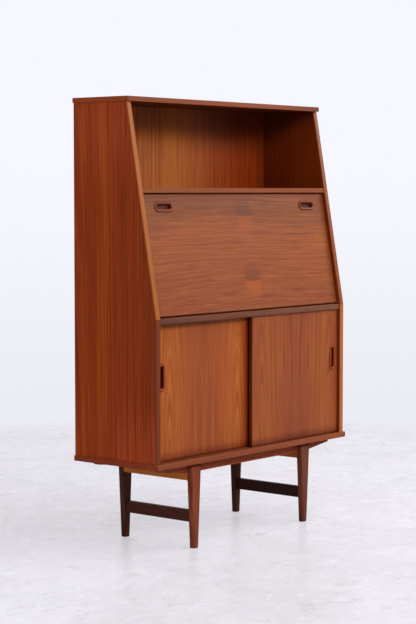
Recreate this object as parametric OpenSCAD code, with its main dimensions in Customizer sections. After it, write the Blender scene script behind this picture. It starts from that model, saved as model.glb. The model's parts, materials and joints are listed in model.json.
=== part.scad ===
// Secretary desk on a low leg frame: an open niche, a raked fall front over a
// writing compartment, and a cabinet with two sliding doors.
// Millimetres. X runs to the right, the front faces -Y, Z is up from the floor.

/* [Case] */
// Width across the outer faces of the two sides
case_w = 906; // [780:2:1100]
// Depth of the sides below the knee
case_d = 315; // [290:1:380]
// Depth of the sides under the top panel
top_d = 206; // [190:1:240]
// Thickness of the sides
side_t = 16; // [14:1:20]
// Thickness of the base panel
base_t = 16; // [14:1:22]
// Thickness of the top panel
top_t = 14; // [12:1:20]
// Thickness of the shelf under the niche
shelf_t = 14; // [12:1:18]
// Thickness of the deck between the compartment and the cabinet
deck_t = 16; // [14:1:20]
// How far the top and base panels stand out past each side
side_overhang = 5; // [2:0.5:12]
// How far the top and base panels stand out past the front
front_overhang = 6; // [3:0.5:12]
// Thickness of the back boards
back_t = 6; // [4:0.5:8]
// How far the back boards are let into each side
back_rebate = 8; // [6:0.5:10]
// Thickness of the solid strip on the front edge of each side
side_lip = 4; // [3:0.5:6]
// Width of the solid strips round the top and base panels
panel_lip = 8; // [5:1:10]

/* [Heights inside] */
// Clear height of the open niche
niche_h = 244; // [200:2:300]
// Clear height of the writing compartment
compartment_h = 353; // [330:1:400]
// Clear height of the cabinet behind the sliding doors
cabinet_h = 394; // [340:2:460]

/* [Leg frame] */
// Height of the legs
leg_h = 249; // [200:1:300]
// Width of a leg at the top, seen from the front
leg_top = 44; // [38:1:50]
// Width of a leg at the floor
leg_foot = 22; // [20:1:28]
// Thickness of a leg from front to rear
leg_t = 20; // [18:1:24]
// Distance of the legs' centres from the ends of the case
leg_end_inset = 187; // [150:1:230]
// Distance of the front legs' centres from the front of the case
leg_front_inset = 20.5; // [14:0.5:30]
// Distance of the rear legs' centres from the rear of the case
leg_rear_inset = 27; // [20:0.5:32]
// Thickness of the front and rear rails
rail_t = 20; // [16:1:24]
// Height of the front and rear rails
rail_h = 28.5; // [24:0.5:34]
// How far the rails are let into the legs' inner faces
rail_lap = 4; // [3:0.5:6]
// Distance of the rails' tips from the ends of the case
rail_tip_inset = 44; // [30:1:90]
// Height of the rails' blunt tips
rail_tip_h = 13; // [8:0.5:20]
// Height of the cross rails between front and rear legs
cross_h = 51; // [44:1:60]
// Thickness of the cross rails
cross_t = 20; // [16:1:22]
// Height of the stretchers' lower edges above the floor
stretcher_z = 75; // [60:1:100]
// Height of a stretcher
stretcher_h = 35; // [26:1:42]
// Thickness of a stretcher
stretcher_t = 14; // [12:1:16]
// Length of the cross rails' tenons
tenon_len = 9; // [6:1:10]
// Thickness of the cross rails' tenons
tenon_t = 8; // [6:1:9]

/* [Fall front] */
// Thickness of the leaf
leaf_t = 16; // [14:0.5:18]
// How far the leaf lies behind the raked edges of the sides
leaf_inset = 12; // [8:0.5:18]
// Gap under the leaf's lower edge
leaf_bottom_gap = 3; // [2.8:0.1:5]
// Gap between the closed leaf and the shelf above it
leaf_top_gap = 4; // [3.5:0.5:8]
// Gap at each end of the leaf
leaf_side_gap = 1; // [0.8:0.1:2]
// Width of the solid strips round the leaf
leaf_lip = 5; // [4:0.5:8]
// Diameter of the pivot pins
pivot_d = 6; // [5:0.5:7]
// Outer diameter of the bushes in the leaf
bush_d = 10; // [9:0.5:11]
// Length of the bushes
bush_len = 18; // [12:1:24]

/* [Stays] */
// Space between the closed stay's end and the back board
stay_back_gap = 18; // [14:1:30]
// Angle between the leaf and the line from its axis to the stay's pivot
stay_lean = 8.2; // [7.6:0.1:9]
// Angle of the wall pivot above the horizontal, seen from the leaf's axis
stay_wall_angle = 58; // [56:0.5:60]
// Height of the flat stay bar
stay_bar_h = 8; // [6:0.5:9]
// Thickness of the flat stay bar
stay_bar_t = 2.5; // [2:0.1:3]
// Distance from the side to the bar's near face
stay_bar_off = 13; // [12:0.5:15]

/* [Pulls] */
// Length of a pull
pull_len = 80; // [70:1:90]
// Width of a pull
pull_w = 30; // [26:1:32]
// Width of a pull's finger slot
pull_slot_w = 14; // [12:0.5:16]
// Depth of a pull behind the panel's face
pull_depth = 9; // [8:0.5:9.5]
// How far a pull's rim stands out from the panel's face
pull_rim = 3; // [2:0.25:4]
// Distance of the leaf's pulls from the leaf's ends
leaf_pull_inset = 93; // [60:1:150]
// Distance of the leaf's pulls from its top edge, along the leaf
leaf_pull_drop = 36; // [28:1:50]
// Distance of the left door's pull from that door's outer edge
left_pull_inset = 38; // [26:1:50]
// Distance of the right door's pull from that door's outer edge
right_pull_inset = 26; // [24:1:50]
// Height of the door pulls' centres above the cabinet's floor
door_pull_z = 241; // [150:1:280]

/* [Sliding doors] */
// Thickness of a door
door_t = 11; // [10:0.5:12]
// Space between the two doors
door_space = 6.5; // [5.5:0.25:8]
// How far the right door lies behind the front of the sides
door_inset = 12; // [10:0.5:16]
// How far the right door reaches past the middle of the desk
door_past_middle = 3.5; // [0:0.5:12]
// How far the left door reaches behind the right one
door_overlap = 20; // [14:1:40]
// Thickness of the doors' tongues
tongue_t = 5; // [4:0.5:6]
// Depth of the lower door grooves
low_groove = 4; // [3:0.5:5]
// Depth of the upper door grooves
high_groove = 10; // [9:0.5:11]
// How far the doors reach up into the upper grooves
door_reach = 4.5; // [3.5:0.25:5]

/* [Inner fittings] */
// Depth of the pigeonholes
pigeon_d = 144; // [120:1:150]
// Height of the pigeonholes
pigeon_h = 165; // [150:1:170]
// Thickness of the pigeonhole boards
pigeon_t = 8; // [6:1:10]
// Clear width of a drawer bay
drawer_bay_w = 185; // [150:1:200]
// Clear height of a drawer bay
drawer_bay_h = 60; // [50:1:70]
// Thickness of a drawer's sides
drawer_side_t = 6; // [5:0.5:8]
// Height of the adjustable shelf above the cabinet's floor
cabinet_shelf_z = 190; // [150:2:230]
// Thickness of the adjustable shelf
cabinet_shelf_t = 14; // [12:1:18]
// Diameter of the shelf pins
shelf_pin_d = 5; // [4:0.5:6]
// Distance between the shelf pin holes
shelf_pin_step = 32; // [25:1:40]

/* [Hidden] */

LEFT = -1;
RIGHT = 1;
FRONT = -1;
REAR = 1;
cut = 1;            // how far a cutter runs past the face it opens
seat = 0.3;         // gap under a piece that slides or rests
fit = 0.05;         // radial clearance of a pin in its hole
$fn = 48;

teak_dark = "#7a3218";
teak = "#a05a30";
teak_light = "#b8703c";
oak = "#a9793f";
stretcher_brown = "#3a1e18";
brass = "#b89548";
steel = "#8c8f94";

// Plan
half_w = case_w / 2;
inner_half = half_w - side_t;
rear_y = (case_d + front_overhang) / 2;
front_y = rear_y - case_d;
back_y = rear_y - back_t;

// Levels, from the floor up
base_top = leg_h + base_t;
deck_z = base_top + cabinet_h;
deck_top = deck_z + deck_t;
shelf_z = deck_top + compartment_h;
shelf_top = shelf_z + shelf_t;
top_z = shelf_top + niche_h;
knee_drop = 1;      // from the deck's top down to the knee of the sides
knee_z = deck_top - knee_drop;

// Rake of the sides above the knee, and the plane a given distance behind it
rake = atan((case_d - top_d) / (top_z - knee_z));
function raked_y(z, behind = 0) =
  front_y + (z - knee_z) * tan(rake) + behind / cos(rake);

// The leaf turns on its own mid-plane, half its thickness above its lower edge
pivot_z = deck_top + leaf_bottom_gap + leaf_t / 2;
pivot_y = raked_y(pivot_z, leaf_inset + leaf_t / 2);
leaf_half_w = inner_half - leaf_side_gap;
leaf_rise = (shelf_z - leaf_top_gap - pivot_z - leaf_t / 2 * sin(rake)) / cos(rake);
leaf_round = 2.5;
bed_gap = 0.7;      // between the swing of the leaf's lower edge and the writing bed
bed_front_y = pivot_y + leaf_t / 2 * sqrt(2) + bed_gap;
bed_t = leaf_bottom_gap + leaf_t;
leaf_pull_x = leaf_half_w - leaf_pull_inset;
leaf_pull_z = leaf_rise - leaf_pull_drop;
pin_seat = 10;      // depth of the pivot pins in the sides

// Stay: its two pivots lie at one radius from the leaf's axis, so the bar turns
// half as far as the leaf and always runs through the wall pivot
leaf_swing = 90 + rake;
stay_leaf_angle = 90 - stay_lean - rake;
stay_tilt = (stay_leaf_angle + stay_wall_angle) / 2 - 90;
stay_block_len = 18;
stay_stop_gap = 0.5;    // between the stop and the guide block when the leaf is level
stay_stop_len = 4;
stay_tail = stay_block_len / 2 + stay_stop_gap + stay_stop_len;
stay_reach_ratio = 2 * sin((stay_leaf_angle + leaf_swing - stay_wall_angle) / 2);
stay_r = (back_y - stay_back_gap - pivot_y - stay_tail * cos(stay_tilt))
  / (cos(stay_leaf_angle) + stay_reach_ratio * cos(stay_tilt));
stay_leaf_y = stay_r * sin(stay_lean);
stay_leaf_z = stay_r * cos(stay_lean);
stay_wall_y = pivot_y + stay_r * cos(stay_wall_angle);
stay_wall_z = pivot_z + stay_r * sin(stay_wall_angle);
stay_end = stay_r * stay_reach_ratio + stay_block_len / 2 + stay_stop_gap;
stay_pin_d = 6;
stay_plate_t = 2.5;
stay_plate_d = 28;
stay_bar_x = inner_half - stay_bar_off - stay_bar_t;   // inner face of the bar

// Doors
right_door_y = front_y + door_inset;
left_door_y = right_door_y + door_t + door_space;
door_end_gap = 0.5;
right_door_w = inner_half - door_end_gap + door_past_middle;
left_door_w = inner_half - door_end_gap - door_past_middle + door_overlap;
door_side_gap = 0.5;    // play of a door at each side of its grooves
door_foot_gap = 1;      // gap under a door on each side of its tongue
door_pull_level = base_top + door_pull_z;

// Pigeonholes, hung under the niche shelf
pigeon_y = back_y - pigeon_d;
pigeon_z = shelf_z - pigeon_h;
bay_inner_x = inner_half - pigeon_t - drawer_bay_w;
drawer_top = pigeon_z + pigeon_t + drawer_bay_h;

// Leg frame
leg_x = half_w - leg_end_inset;
leg_front_y = front_y + leg_front_inset;
leg_rear_y = rear_y - leg_rear_inset;
slab_t = 0.01;      // thickness of the slabs that a leg is stretched between
top_corner = 3;     // corner radius of a leg at the top
foot_corner = 7;    // corner radius of a leg at the floor
foot_ease = 1.25;   // inset of a foot's rounded lower edge
foot_round = 2.5;   // height of a foot's rounded lower edge
housing = 1;        // how far a cross rail's full end is let into the legs
stretcher_housing = 3;
cross_setback = 2;  // from a leg's outer face to its cross rail, at the rail's lower edge
rail_bottom = leg_h - rail_h;
cross_bottom = leg_h - cross_h;
cross_x = leg_x + leg_foot / 2 + (leg_top - leg_foot) / 2 * cross_bottom / leg_h - cross_setback - cross_t / 2;

function leg_y(end) = end == FRONT ? leg_front_y : leg_rear_y;

// The plane of a leg's inner face, which looks towards the legs at the other end
function leg_face(end) = leg_y(end) - end * leg_t / 2;

// The two faces of a long rail, lowest first
function rail_faces(end) =
  let (outer = leg_face(end) + end * rail_lap, inner = outer - end * rail_t)
  [min(outer, inner), max(outer, inner)];

// A box from its lowest corner to its highest
module block(low, high) {
  translate(low) cube(high - low);
}

// Extrudes a drawing of Y and Z along X, centred on x = 0
module along_x(length) {
  rotate([90, 0, 90]) linear_extrude(length, center = true) children();
}

// A cylinder along X between two values of x
module rod_x(x0, x1, d) {
  translate([min(x0, x1), 0, 0]) rotate([0, 90, 0]) cylinder(h = abs(x1 - x0), d = d);
}

// Places what is drawn about the leaf's axis, with the leaf upright, in the raked closed leaf
module in_leaf() {
  translate([0, pivot_y, pivot_z]) rotate([-rake, 0, 0]) children();
}

// ---------------------------------------------------------------- sides

// Outline of a side, a given distance behind its front edges
function side_outline(behind) = [
  [rear_y, base_top],
  [front_y + behind, base_top],
  [front_y + behind, knee_z - behind * tan(rake / 2)],
  [raked_y(top_z, behind), top_z],
  [rear_y, top_z],
];

module shelf_pin_places(side) {
  for (y = [pin_front_y, pin_rear_y], step = [-1, 0, 1])
    translate([side * inner_half, y, shelf_pin_level + step * shelf_pin_step]) children();
}

shelf_pin_level = base_top + cabinet_shelf_z - shelf_pin_d / 2;
shelf_setback = 10;     // from the rear door to the adjustable shelf
shelf_pin_inset = 40;   // from the shelf's front, and from the back board, to the pins
shelf_front_y = left_door_y + door_t + shelf_setback;
pin_front_y = shelf_front_y + shelf_pin_inset;
pin_rear_y = back_y - shelf_pin_inset;
shelf_pin_in = 9;
shelf_pin_out = 10;

module side(which) {
  color(teak_dark)
    difference() {
      translate([which * (inner_half + side_t / 2), 0, 0])
        along_x(side_t) polygon(side_outline(side_lip));
      // rebate for the back boards
      translate([which * (inner_half + back_rebate / 2), 0, 0])
        along_x(back_rebate)
          translate([back_y, base_top - cut]) square([back_t + cut, top_z - base_top + 2 * cut]);
      // hole for the leaf's pivot pin
      translate([0, pivot_y, pivot_z])
        rod_x(which * inner_half, which * (inner_half + pin_seat), pivot_d + 2 * fit);
      // holes for the shelf pins
      shelf_pin_places(which)
        rod_x(0, which * shelf_pin_in, shelf_pin_d + 2 * fit);
      back_screw_places(which) cylinder(h = back_screw_len, d = back_screw_d + 2 * fit);
      low_dowel_places() dowel_hole();
      high_dowel_places() dowel_hole();
    }
}

// Two strips on the front edge, mitred at the knee
module side_lipping(which) {
  outer = side_outline(0);
  inner = side_outline(side_lip);
  translate([which * (inner_half + side_t / 2), 0, 0]) {
    color(teak_light) along_x(side_t) polygon([outer[1], outer[2], inner[2], inner[1]]);
    color(teak_light) along_x(side_t) polygon([outer[2], outer[3], inner[3], inner[2]]);
  }
}

// Dowels that join the sides to the base panel and the top panel
dowel_d = 8;
dowel_len = 24;
dowel_in_panel = 9;
dowel_margin = 45;  // distance of the outer dowels from the edges of a side

module dowel_row(y0, y1, z) {
  for (which = [LEFT, RIGHT], k = [0, 0.5, 1])
    translate([which * (inner_half + side_t / 2), y0 + k * (y1 - y0), z]) children();
}

module low_dowel_places() {
  dowel_row(front_y + dowel_margin, back_y - dowel_margin, base_top - dowel_in_panel) children();
}

module high_dowel_places() {
  dowel_row(raked_y(top_z) + dowel_margin, back_y - dowel_margin, top_z + dowel_in_panel - dowel_len) children();
}

module dowel_hole() {
  cylinder(h = dowel_len, d = dowel_d + 2 * fit);
}

module case_dowels() {
  color(oak) low_dowel_places() cylinder(h = dowel_len, d = dowel_d);
  color(oak) high_dowel_places() cylinder(h = dowel_len, d = dowel_d);
}

// ---------------------------------------------------------------- flat panels

// A panel with solid strips on its front and ends: the strips or the field inside them
module edged_panel(depth, z, thickness, part) {
  half = half_w + side_overhang;
  front = rear_y - depth - front_overhang;
  if (part == "field")
    block([-half + panel_lip, front + panel_lip, z], [half - panel_lip, rear_y, z + thickness]);
  else {
    block([-half + panel_lip, front, z], [half - panel_lip, front + panel_lip, z + thickness]);
    for (which = [LEFT, RIGHT])
      translate([which * (half - panel_lip / 2) - panel_lip / 2, front, z])
        cube([panel_lip, rear_y - front, thickness]);
  }
}

module top_panel() {
  color(teak)
    difference() {
      edged_panel(top_d, top_z, top_t, "field");
      high_dowel_places() dowel_hole();
    }
}

module top_lipping() {
  color(teak_light)
    difference() {
      edged_panel(top_d, top_z, top_t, "strips");
      high_dowel_places() dowel_hole();
    }
}

// The two door grooves between two levels, for a tongue or a door of a given thickness
module door_grooves(z0, z1, thickness) {
  half = thickness / 2 + door_side_gap;
  for (y = [right_door_y, left_door_y])
    block([-inner_half, y + door_t / 2 - half, z0], [inner_half, y + door_t / 2 + half, z1]);
}

module base_panel() {
  color(teak)
    difference() {
      edged_panel(case_d, leg_h, base_t, "field");
      door_grooves(base_top - low_groove, base_top + cut, tongue_t);
      for (which = [LEFT, RIGHT]) frame_screw_places(which)
        cylinder(h = screw_grip + screw_bite, d = screw_d + 2 * fit);
      low_dowel_places() dowel_hole();
    }
}

module base_lipping() {
  color(teak_light)
    difference() {
      edged_panel(case_d, leg_h, base_t, "strips");
      low_dowel_places() dowel_hole();
    }
}

niche_lip = 5;
niche_shelf_inset = 2;

module niche_shelf() {
  color(teak)
    along_x(2 * inner_half)
      polygon([
        [raked_y(shelf_z, niche_shelf_inset + niche_lip), shelf_z], [back_y, shelf_z],
        [back_y, shelf_top], [raked_y(shelf_top, niche_shelf_inset + niche_lip), shelf_top],
      ]);
}

module niche_shelf_lipping() {
  color(teak_light)
    along_x(2 * inner_half)
      polygon([
        [raked_y(shelf_z, niche_shelf_inset), shelf_z],
        [raked_y(shelf_z, niche_shelf_inset + niche_lip), shelf_z],
        [raked_y(shelf_top, niche_shelf_inset + niche_lip), shelf_top],
        [raked_y(shelf_top, niche_shelf_inset), shelf_top],
      ]);
}

deck_inset = 4.5;
deck_lip = 5;

module deck_panel() {
  color(teak)
    difference() {
      block([-inner_half, front_y + deck_inset + deck_lip, deck_z], [inner_half, back_y, deck_top]);
      door_grooves(deck_z - cut, deck_z + high_groove, door_t);
    }
}

module deck_lipping() {
  color(teak_dark)
    block([-inner_half, front_y + deck_inset, deck_z], [inner_half, front_y + deck_inset + deck_lip, deck_top]);
}

// The raised floor of the compartment, level with the open leaf
module writing_bed() {
  color(teak)
    block([-inner_half, bed_front_y, deck_top], [inner_half, back_y, deck_top + bed_t]);
}

// Flush screws that hold the back boards to the sides, driven towards the front
back_screw_rows = 6;
back_screw_d = 3;
back_screw_len = 16;
back_screw_head_d = 6;
back_screw_head_t = 1.2;

module back_screw_places(which) {
  run = (top_z - base_top) / back_screw_rows;
  for (i = [0 : back_screw_rows - 1])
    translate([which * (inner_half + back_rebate / 2), rear_y, base_top + run * (i + 0.5)])
      rotate([90, 0, 0]) children();
}

module back_board(z0, z1) {
  half = inner_half + back_rebate;
  difference() {
    block([-half, back_y, z0], [half, rear_y, z1]);
    for (which = [LEFT, RIGHT]) back_screw_places(which) {
      cylinder(h = back_screw_len, d = back_screw_d + 2 * fit);
      translate([0, 0, -cut]) cylinder(h = back_screw_head_t + cut, d = back_screw_head_d + 2 * fit);
    }
  }
}

back_joint_z = deck_z + deck_t / 2;

module back_upper() {
  color(teak) back_board(back_joint_z, top_z);
}

module back_lower() {
  color(teak) back_board(base_top, back_joint_z);
}

module back_screws() {
  for (which = [LEFT, RIGHT])
    color(steel) back_screw_places(which) {
      cylinder(h = back_screw_head_t, d = back_screw_head_d);
      cylinder(h = back_screw_len, d = back_screw_d);
    }
}

// Strip under the shelf that the closed leaf leans on
module leaf_stop() {
  stop_h = 14;
  stop_d = 12;
  front_low = pivot_y + (leaf_t / 2 + seat) / cos(rake) + (shelf_z - stop_h - pivot_z) * tan(rake);
  front_high = front_low + stop_h * tan(rake);
  color(teak)
    along_x(2 * inner_half)
      polygon([
        [front_low, shelf_z - stop_h], [front_low + stop_d, shelf_z - stop_h],
        [front_low + stop_d, shelf_z], [front_high, shelf_z],
      ]);
}

// ---------------------------------------------------------------- pigeonholes

module pigeonhole_floor() {
  color(teak_light)
    block([-inner_half, pigeon_y, pigeon_z], [inner_half, back_y, pigeon_z + pigeon_t]);
}

partition_t = 5;
partition_setback = 12;     // from the front of the pigeonholes to the slim partitions
bay_shelf_t = 6;            // board over a drawer bay

// Two ends, two drawer walls and two slim partitions between them
module pigeonhole_dividers() {
  wall_low = pigeon_z + pigeon_t;
  ends = [-inner_half, inner_half - pigeon_t];
  walls = [-bay_inner_x, bay_inner_x - pigeon_t];
  partitions = [for (k = [-1, 1]) k * (bay_inner_x - pigeon_t) / 3 - partition_t / 2];
  for (x = concat(ends, walls))
    color(teak_light) block([x, pigeon_y, wall_low], [x + pigeon_t, back_y, shelf_z]);
  for (x = partitions)
    color(teak_light) block([x, pigeon_y + partition_setback, wall_low], [x + partition_t, back_y, shelf_z]);
}

module pigeonhole_shelves() {
  for (which = [LEFT, RIGHT])
    color(teak_light)
      translate([which * (bay_inner_x + drawer_bay_w / 2), 0, 0])
        block([-drawer_bay_w / 2, pigeon_y, drawer_top], [drawer_bay_w / 2, back_y, drawer_top + bay_shelf_t]);
}

// ---------------------------------------------------------------- drawers

drawer_gap = 0.5;
drawer_w = drawer_bay_w - 2 * drawer_gap;
drawer_headroom = 1;    // over a closed drawer
drawer_h = drawer_bay_h - seat - drawer_headroom;
drawer_front_t = 9;
drawer_floor_t = 3;
drawer_rear_gap = 4;    // between a closed drawer and the back board
drawer_depth = pigeon_d - drawer_rear_gap;
drawer_wall_drop = 6;   // from the front's upper edge down to the walls'

// Places what is drawn from a drawer's lower front corner, centred across its width
module at_drawer(which) {
  translate([which * (bay_inner_x + drawer_bay_w / 2), pigeon_y, pigeon_z + pigeon_t + seat]) children();
}

module drawer_front(which) {
  color(teak) at_drawer(which)
    difference() {
      block([-drawer_w / 2, 0, 0], [drawer_w / 2, drawer_front_t, drawer_h]);
      // hole for the knob's spigot
      translate([0, -cut, drawer_h / 2]) rotate([-90, 0, 0])
        cylinder(h = drawer_front_t + 2 * cut, d = knob_spigot_d + 2 * fit);
    }
}

module drawer_box(which) {
  wall_h = drawer_h - drawer_wall_drop;
  half = drawer_w / 2;
  at_drawer(which) {
    for (x = [-half, half - drawer_side_t])
      color(oak) block([x, drawer_front_t, 0], [x + drawer_side_t, drawer_depth, wall_h]);
    color(oak)
      block([-half + drawer_side_t, drawer_depth - drawer_side_t, 0], [half - drawer_side_t, drawer_depth, wall_h]);
    color(oak)
      block([-half + drawer_side_t, drawer_front_t, 0],
            [half - drawer_side_t, drawer_depth - drawer_side_t, drawer_floor_t]);
  }
}

knob_spigot_d = 6;
knob_d = 15;
knob_len = 13;
knob_dome = 5;
knob_neck = [[5, 0], [4, 2.5], [4.4, 5]];   // radius and distance from the drawer's front

// Turned knob: a waisted neck under a low dome
module drawer_knob(which) {
  color(teak_dark) at_drawer(which)
    translate([0, 0, drawer_h / 2]) rotate([90, 0, 0])
      rotate_extrude()
        polygon(concat(
          [[0, -drawer_front_t], [knob_spigot_d / 2, -drawer_front_t], [knob_spigot_d / 2, 0]],
          knob_neck,
          [for (a = [0 : 15 : 90]) [knob_d / 2 * cos(a), knob_len - knob_dome + knob_dome * sin(a)]]
        ));
}

// ---------------------------------------------------------------- cabinet

module cabinet_shelf() {
  shelf_gap = 0.5;    // at each end
  back_gap = 2;
  color(teak)
    block([-inner_half + shelf_gap, shelf_front_y, base_top + cabinet_shelf_z],
          [inner_half - shelf_gap, back_y - back_gap, base_top + cabinet_shelf_z + cabinet_shelf_t]);
}

module shelf_pins() {
  for (which = [LEFT, RIGHT], y = [pin_front_y, pin_rear_y])
    color(brass)
      translate([which * inner_half, y, shelf_pin_level])
        rod_x(-which * shelf_pin_out, which * shelf_pin_in, shelf_pin_d);
}

// ---------------------------------------------------------------- pulls

// Half section of a pull from its middle line outwards: floor, wall, rounded rim,
// rolled lip and undercut finger slot
pull_r = pull_w / 2;
pull_slot_r = pull_slot_w / 2;
pull_crest_out = 1;     // from the middle of the rim out to its crest
pull_crest_r = (pull_r + pull_slot_r) / 2 + pull_crest_out;
pull_undercut = 2;
pull_floor_t = 1.5;
pull_edge = 0.5;        // height of the rim's square outer edge
pull_roll = 1;          // how far the lip rolls below the panel's face
pull_throat = [3, 4.5]; // depths between which the slot widens
pull_section = concat(
  [[0, -pull_depth], [pull_r, -pull_depth]],
  [for (a = [0 : 18 : 90]) [pull_crest_r + (pull_r - pull_crest_r) * cos(a), pull_edge + (pull_rim - pull_edge) * sin(a)]],
  [for (a = [18 : 18 : 90])
    [pull_crest_r - (pull_crest_r - pull_slot_r) * sin(a), pull_rim - (pull_rim + pull_roll) * (1 - cos(a))]],
  [[pull_slot_r, -pull_throat[0]], [pull_slot_r + pull_undercut, -pull_throat[1]],
   [pull_slot_r + pull_undercut, -pull_depth + pull_floor_t], [0, -pull_depth + pull_floor_t]]
);

// A pull with its length along X and its rim towards +Z, its panel's face at z = 0
module pull() {
  straight = pull_len - pull_w;
  for (turn = [-90, 90])
    translate([sign(turn) * straight / 2, 0, 0])
      rotate([0, 0, -90]) rotate([0, 0, turn < 0 ? 180 : 0])
        rotate_extrude(angle = 180) polygon(pull_section);
  rotate([90, 0, 90]) linear_extrude(straight, center = true) {
    polygon(pull_section);
    mirror([1, 0]) polygon(pull_section);
  }
}

// The mortise that a pull is glued into
module pull_mortise() {
  straight = pull_len - pull_w;
  translate([0, 0, -pull_depth]) linear_extrude(pull_depth + cut) {
    square([straight, pull_w], center = true);
    for (end = [-1, 1]) translate([end * straight / 2, 0]) circle(d = pull_w);
  }
}

module at_leaf_pull(which) {
  in_leaf() translate([which * leaf_pull_x, -leaf_t / 2, leaf_pull_z]) rotate([90, 0, 0]) children();
}

module leaf_pull(which) {
  color(teak_dark) at_leaf_pull(which) pull();
}

// ---------------------------------------------------------------- leaf

// Cross section of the leaf about its axis, its lower outer edge rounded
module leaf_section(z0, z1) {
  half = leaf_t / 2;
  intersection() {
    translate([-half, z0]) square([leaf_t, z1 - z0]);
    union() {
      translate([-half + leaf_round, -half + leaf_round]) circle(r = leaf_round);
      translate([-half + leaf_round, -half]) square([leaf_t - leaf_round, leaf_rise + half]);
      translate([-half, -half + leaf_round]) square([leaf_t, leaf_rise + half - leaf_round]);
    }
  }
}

// The holes for the bushes in the leaf's two ends
module bush_holes() {
  for (which = [LEFT, RIGHT])
    rod_x(which * (leaf_half_w + cut), which * (leaf_half_w - bush_len), bush_d + 2 * fit);
}

module leaf_panel() {
  color(teak)
    difference() {
      in_leaf()
        difference() {
          along_x(2 * (leaf_half_w - leaf_lip))
            leaf_section(-leaf_t / 2 + leaf_lip, leaf_rise - leaf_lip);
          bush_holes();
        }
      for (which = [LEFT, RIGHT]) at_leaf_pull(which) pull_mortise();
    }
}

module leaf_lipping() {
  color(teak_light) in_leaf()
    difference() {
      union() {
        along_x(2 * (leaf_half_w - leaf_lip)) leaf_section(-leaf_t / 2, -leaf_t / 2 + leaf_lip);
        along_x(2 * (leaf_half_w - leaf_lip)) leaf_section(leaf_rise - leaf_lip, leaf_rise);
        for (which = [LEFT, RIGHT])
          translate([which * (leaf_half_w - leaf_lip / 2), 0, 0])
            along_x(leaf_lip) leaf_section(-leaf_t / 2, leaf_rise);
      }
      bush_holes();
    }
}

module leaf_bushes() {
  for (which = [LEFT, RIGHT])
    color(brass) in_leaf()
      difference() {
        rod_x(which * leaf_half_w, which * (leaf_half_w - bush_len), bush_d);
        rod_x(which * (leaf_half_w + cut), which * (leaf_half_w - bush_len - cut), pivot_d + 2 * fit);
      }
}

pin_short = 2;      // from a pivot pin's inner end to the end of its bush

module pivot_pins() {
  for (which = [LEFT, RIGHT])
    color(brass) translate([0, pivot_y, pivot_z])
      rod_x(which * (inner_half + pin_seat), which * (leaf_half_w - bush_len + pin_short), pivot_d);
}

// ---------------------------------------------------------------- stays

stay_plate_x = inner_half - stay_plate_t;   // face of the disc
stay_pin_reach = 8;     // length of the wall pin inside the block
stay_side_gap = 0.3;    // sideways play between the bar, the block and their neighbours
stay_slot_gap = 0.35;   // play of the bar in the block's slot
stay_eye_d = 13;
stay_bar_mid = stay_bar_x + stay_bar_t / 2;

// Brass disc on the side with the pin that the guide block turns on
module stay_plates() {
  for (which = [LEFT, RIGHT])
    color(brass) translate([0, stay_wall_y, stay_wall_z]) {
      rod_x(which * inner_half, which * stay_plate_x, stay_plate_d);
      rod_x(which * stay_plate_x, which * (stay_plate_x - stay_pin_reach), stay_pin_d);
    }
}

// Places what is drawn along the bar: the leaf pivot at the origin, the bar towards +Y
module along_stay() {
  translate([0, pivot_y, pivot_z])
    rotate([stay_leaf_angle, 0, 0]) translate([0, stay_r, 0])
      rotate([stay_tilt - stay_leaf_angle, 0, 0]) children();
}

// Flat bar with an eye at the leaf's end and a stop at the other
module stay_arm(which) {
  stop_step = [1, 1.5];     // how far the stop stands out from the bar's faces and edges
  color(brass) along_stay() translate([which * stay_bar_mid, 0, 0])
    difference() {
      union() {
        block([-stay_bar_t / 2, 0, -stay_bar_h / 2], [stay_bar_t / 2, stay_end + stay_stop_len, stay_bar_h / 2]);
        rod_x(-stay_bar_t / 2, stay_bar_t / 2, stay_eye_d);
        block([-stay_bar_t / 2 - stop_step[0], stay_end, -stay_bar_h / 2 - stop_step[1]],
              [stay_bar_t / 2 + stop_step[0], stay_end + stay_stop_len, stay_bar_h / 2 + stop_step[1]]);
      }
      rod_x(-stay_bar_t, stay_bar_t, stay_pin_d + 2 * fit);
    }
}

// Guide block: turns on the wall pin, and the bar slides through its slot
module stay_block(which) {
  wall = 3;         // metal beside the slot, towards the middle of the desk
  rim = 3.5;        // metal above and below the slot
  outer_x = stay_plate_x - stay_side_gap;
  inner_x = stay_bar_x - wall;
  half_h = stay_bar_h / 2 + rim;
  half_l = stay_block_len / 2;
  slot = [stay_bar_t / 2 + stay_slot_gap, half_l + cut, stay_bar_h / 2 + stay_slot_gap];
  color(brass)
    translate([0, stay_wall_y, stay_wall_z]) rotate([stay_tilt, 0, 0])
      difference() {
        translate([which * (outer_x + inner_x) / 2, 0, 0])
          cube([outer_x - inner_x, stay_block_len, 2 * half_h], center = true);
        rod_x(which * (outer_x + cut), which * (stay_plate_x - stay_pin_reach - stay_side_gap), stay_pin_d + 2 * fit);
        translate([which * stay_bar_mid, 0, 0]) cube(2 * slot, center = true);
      }
}

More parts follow.
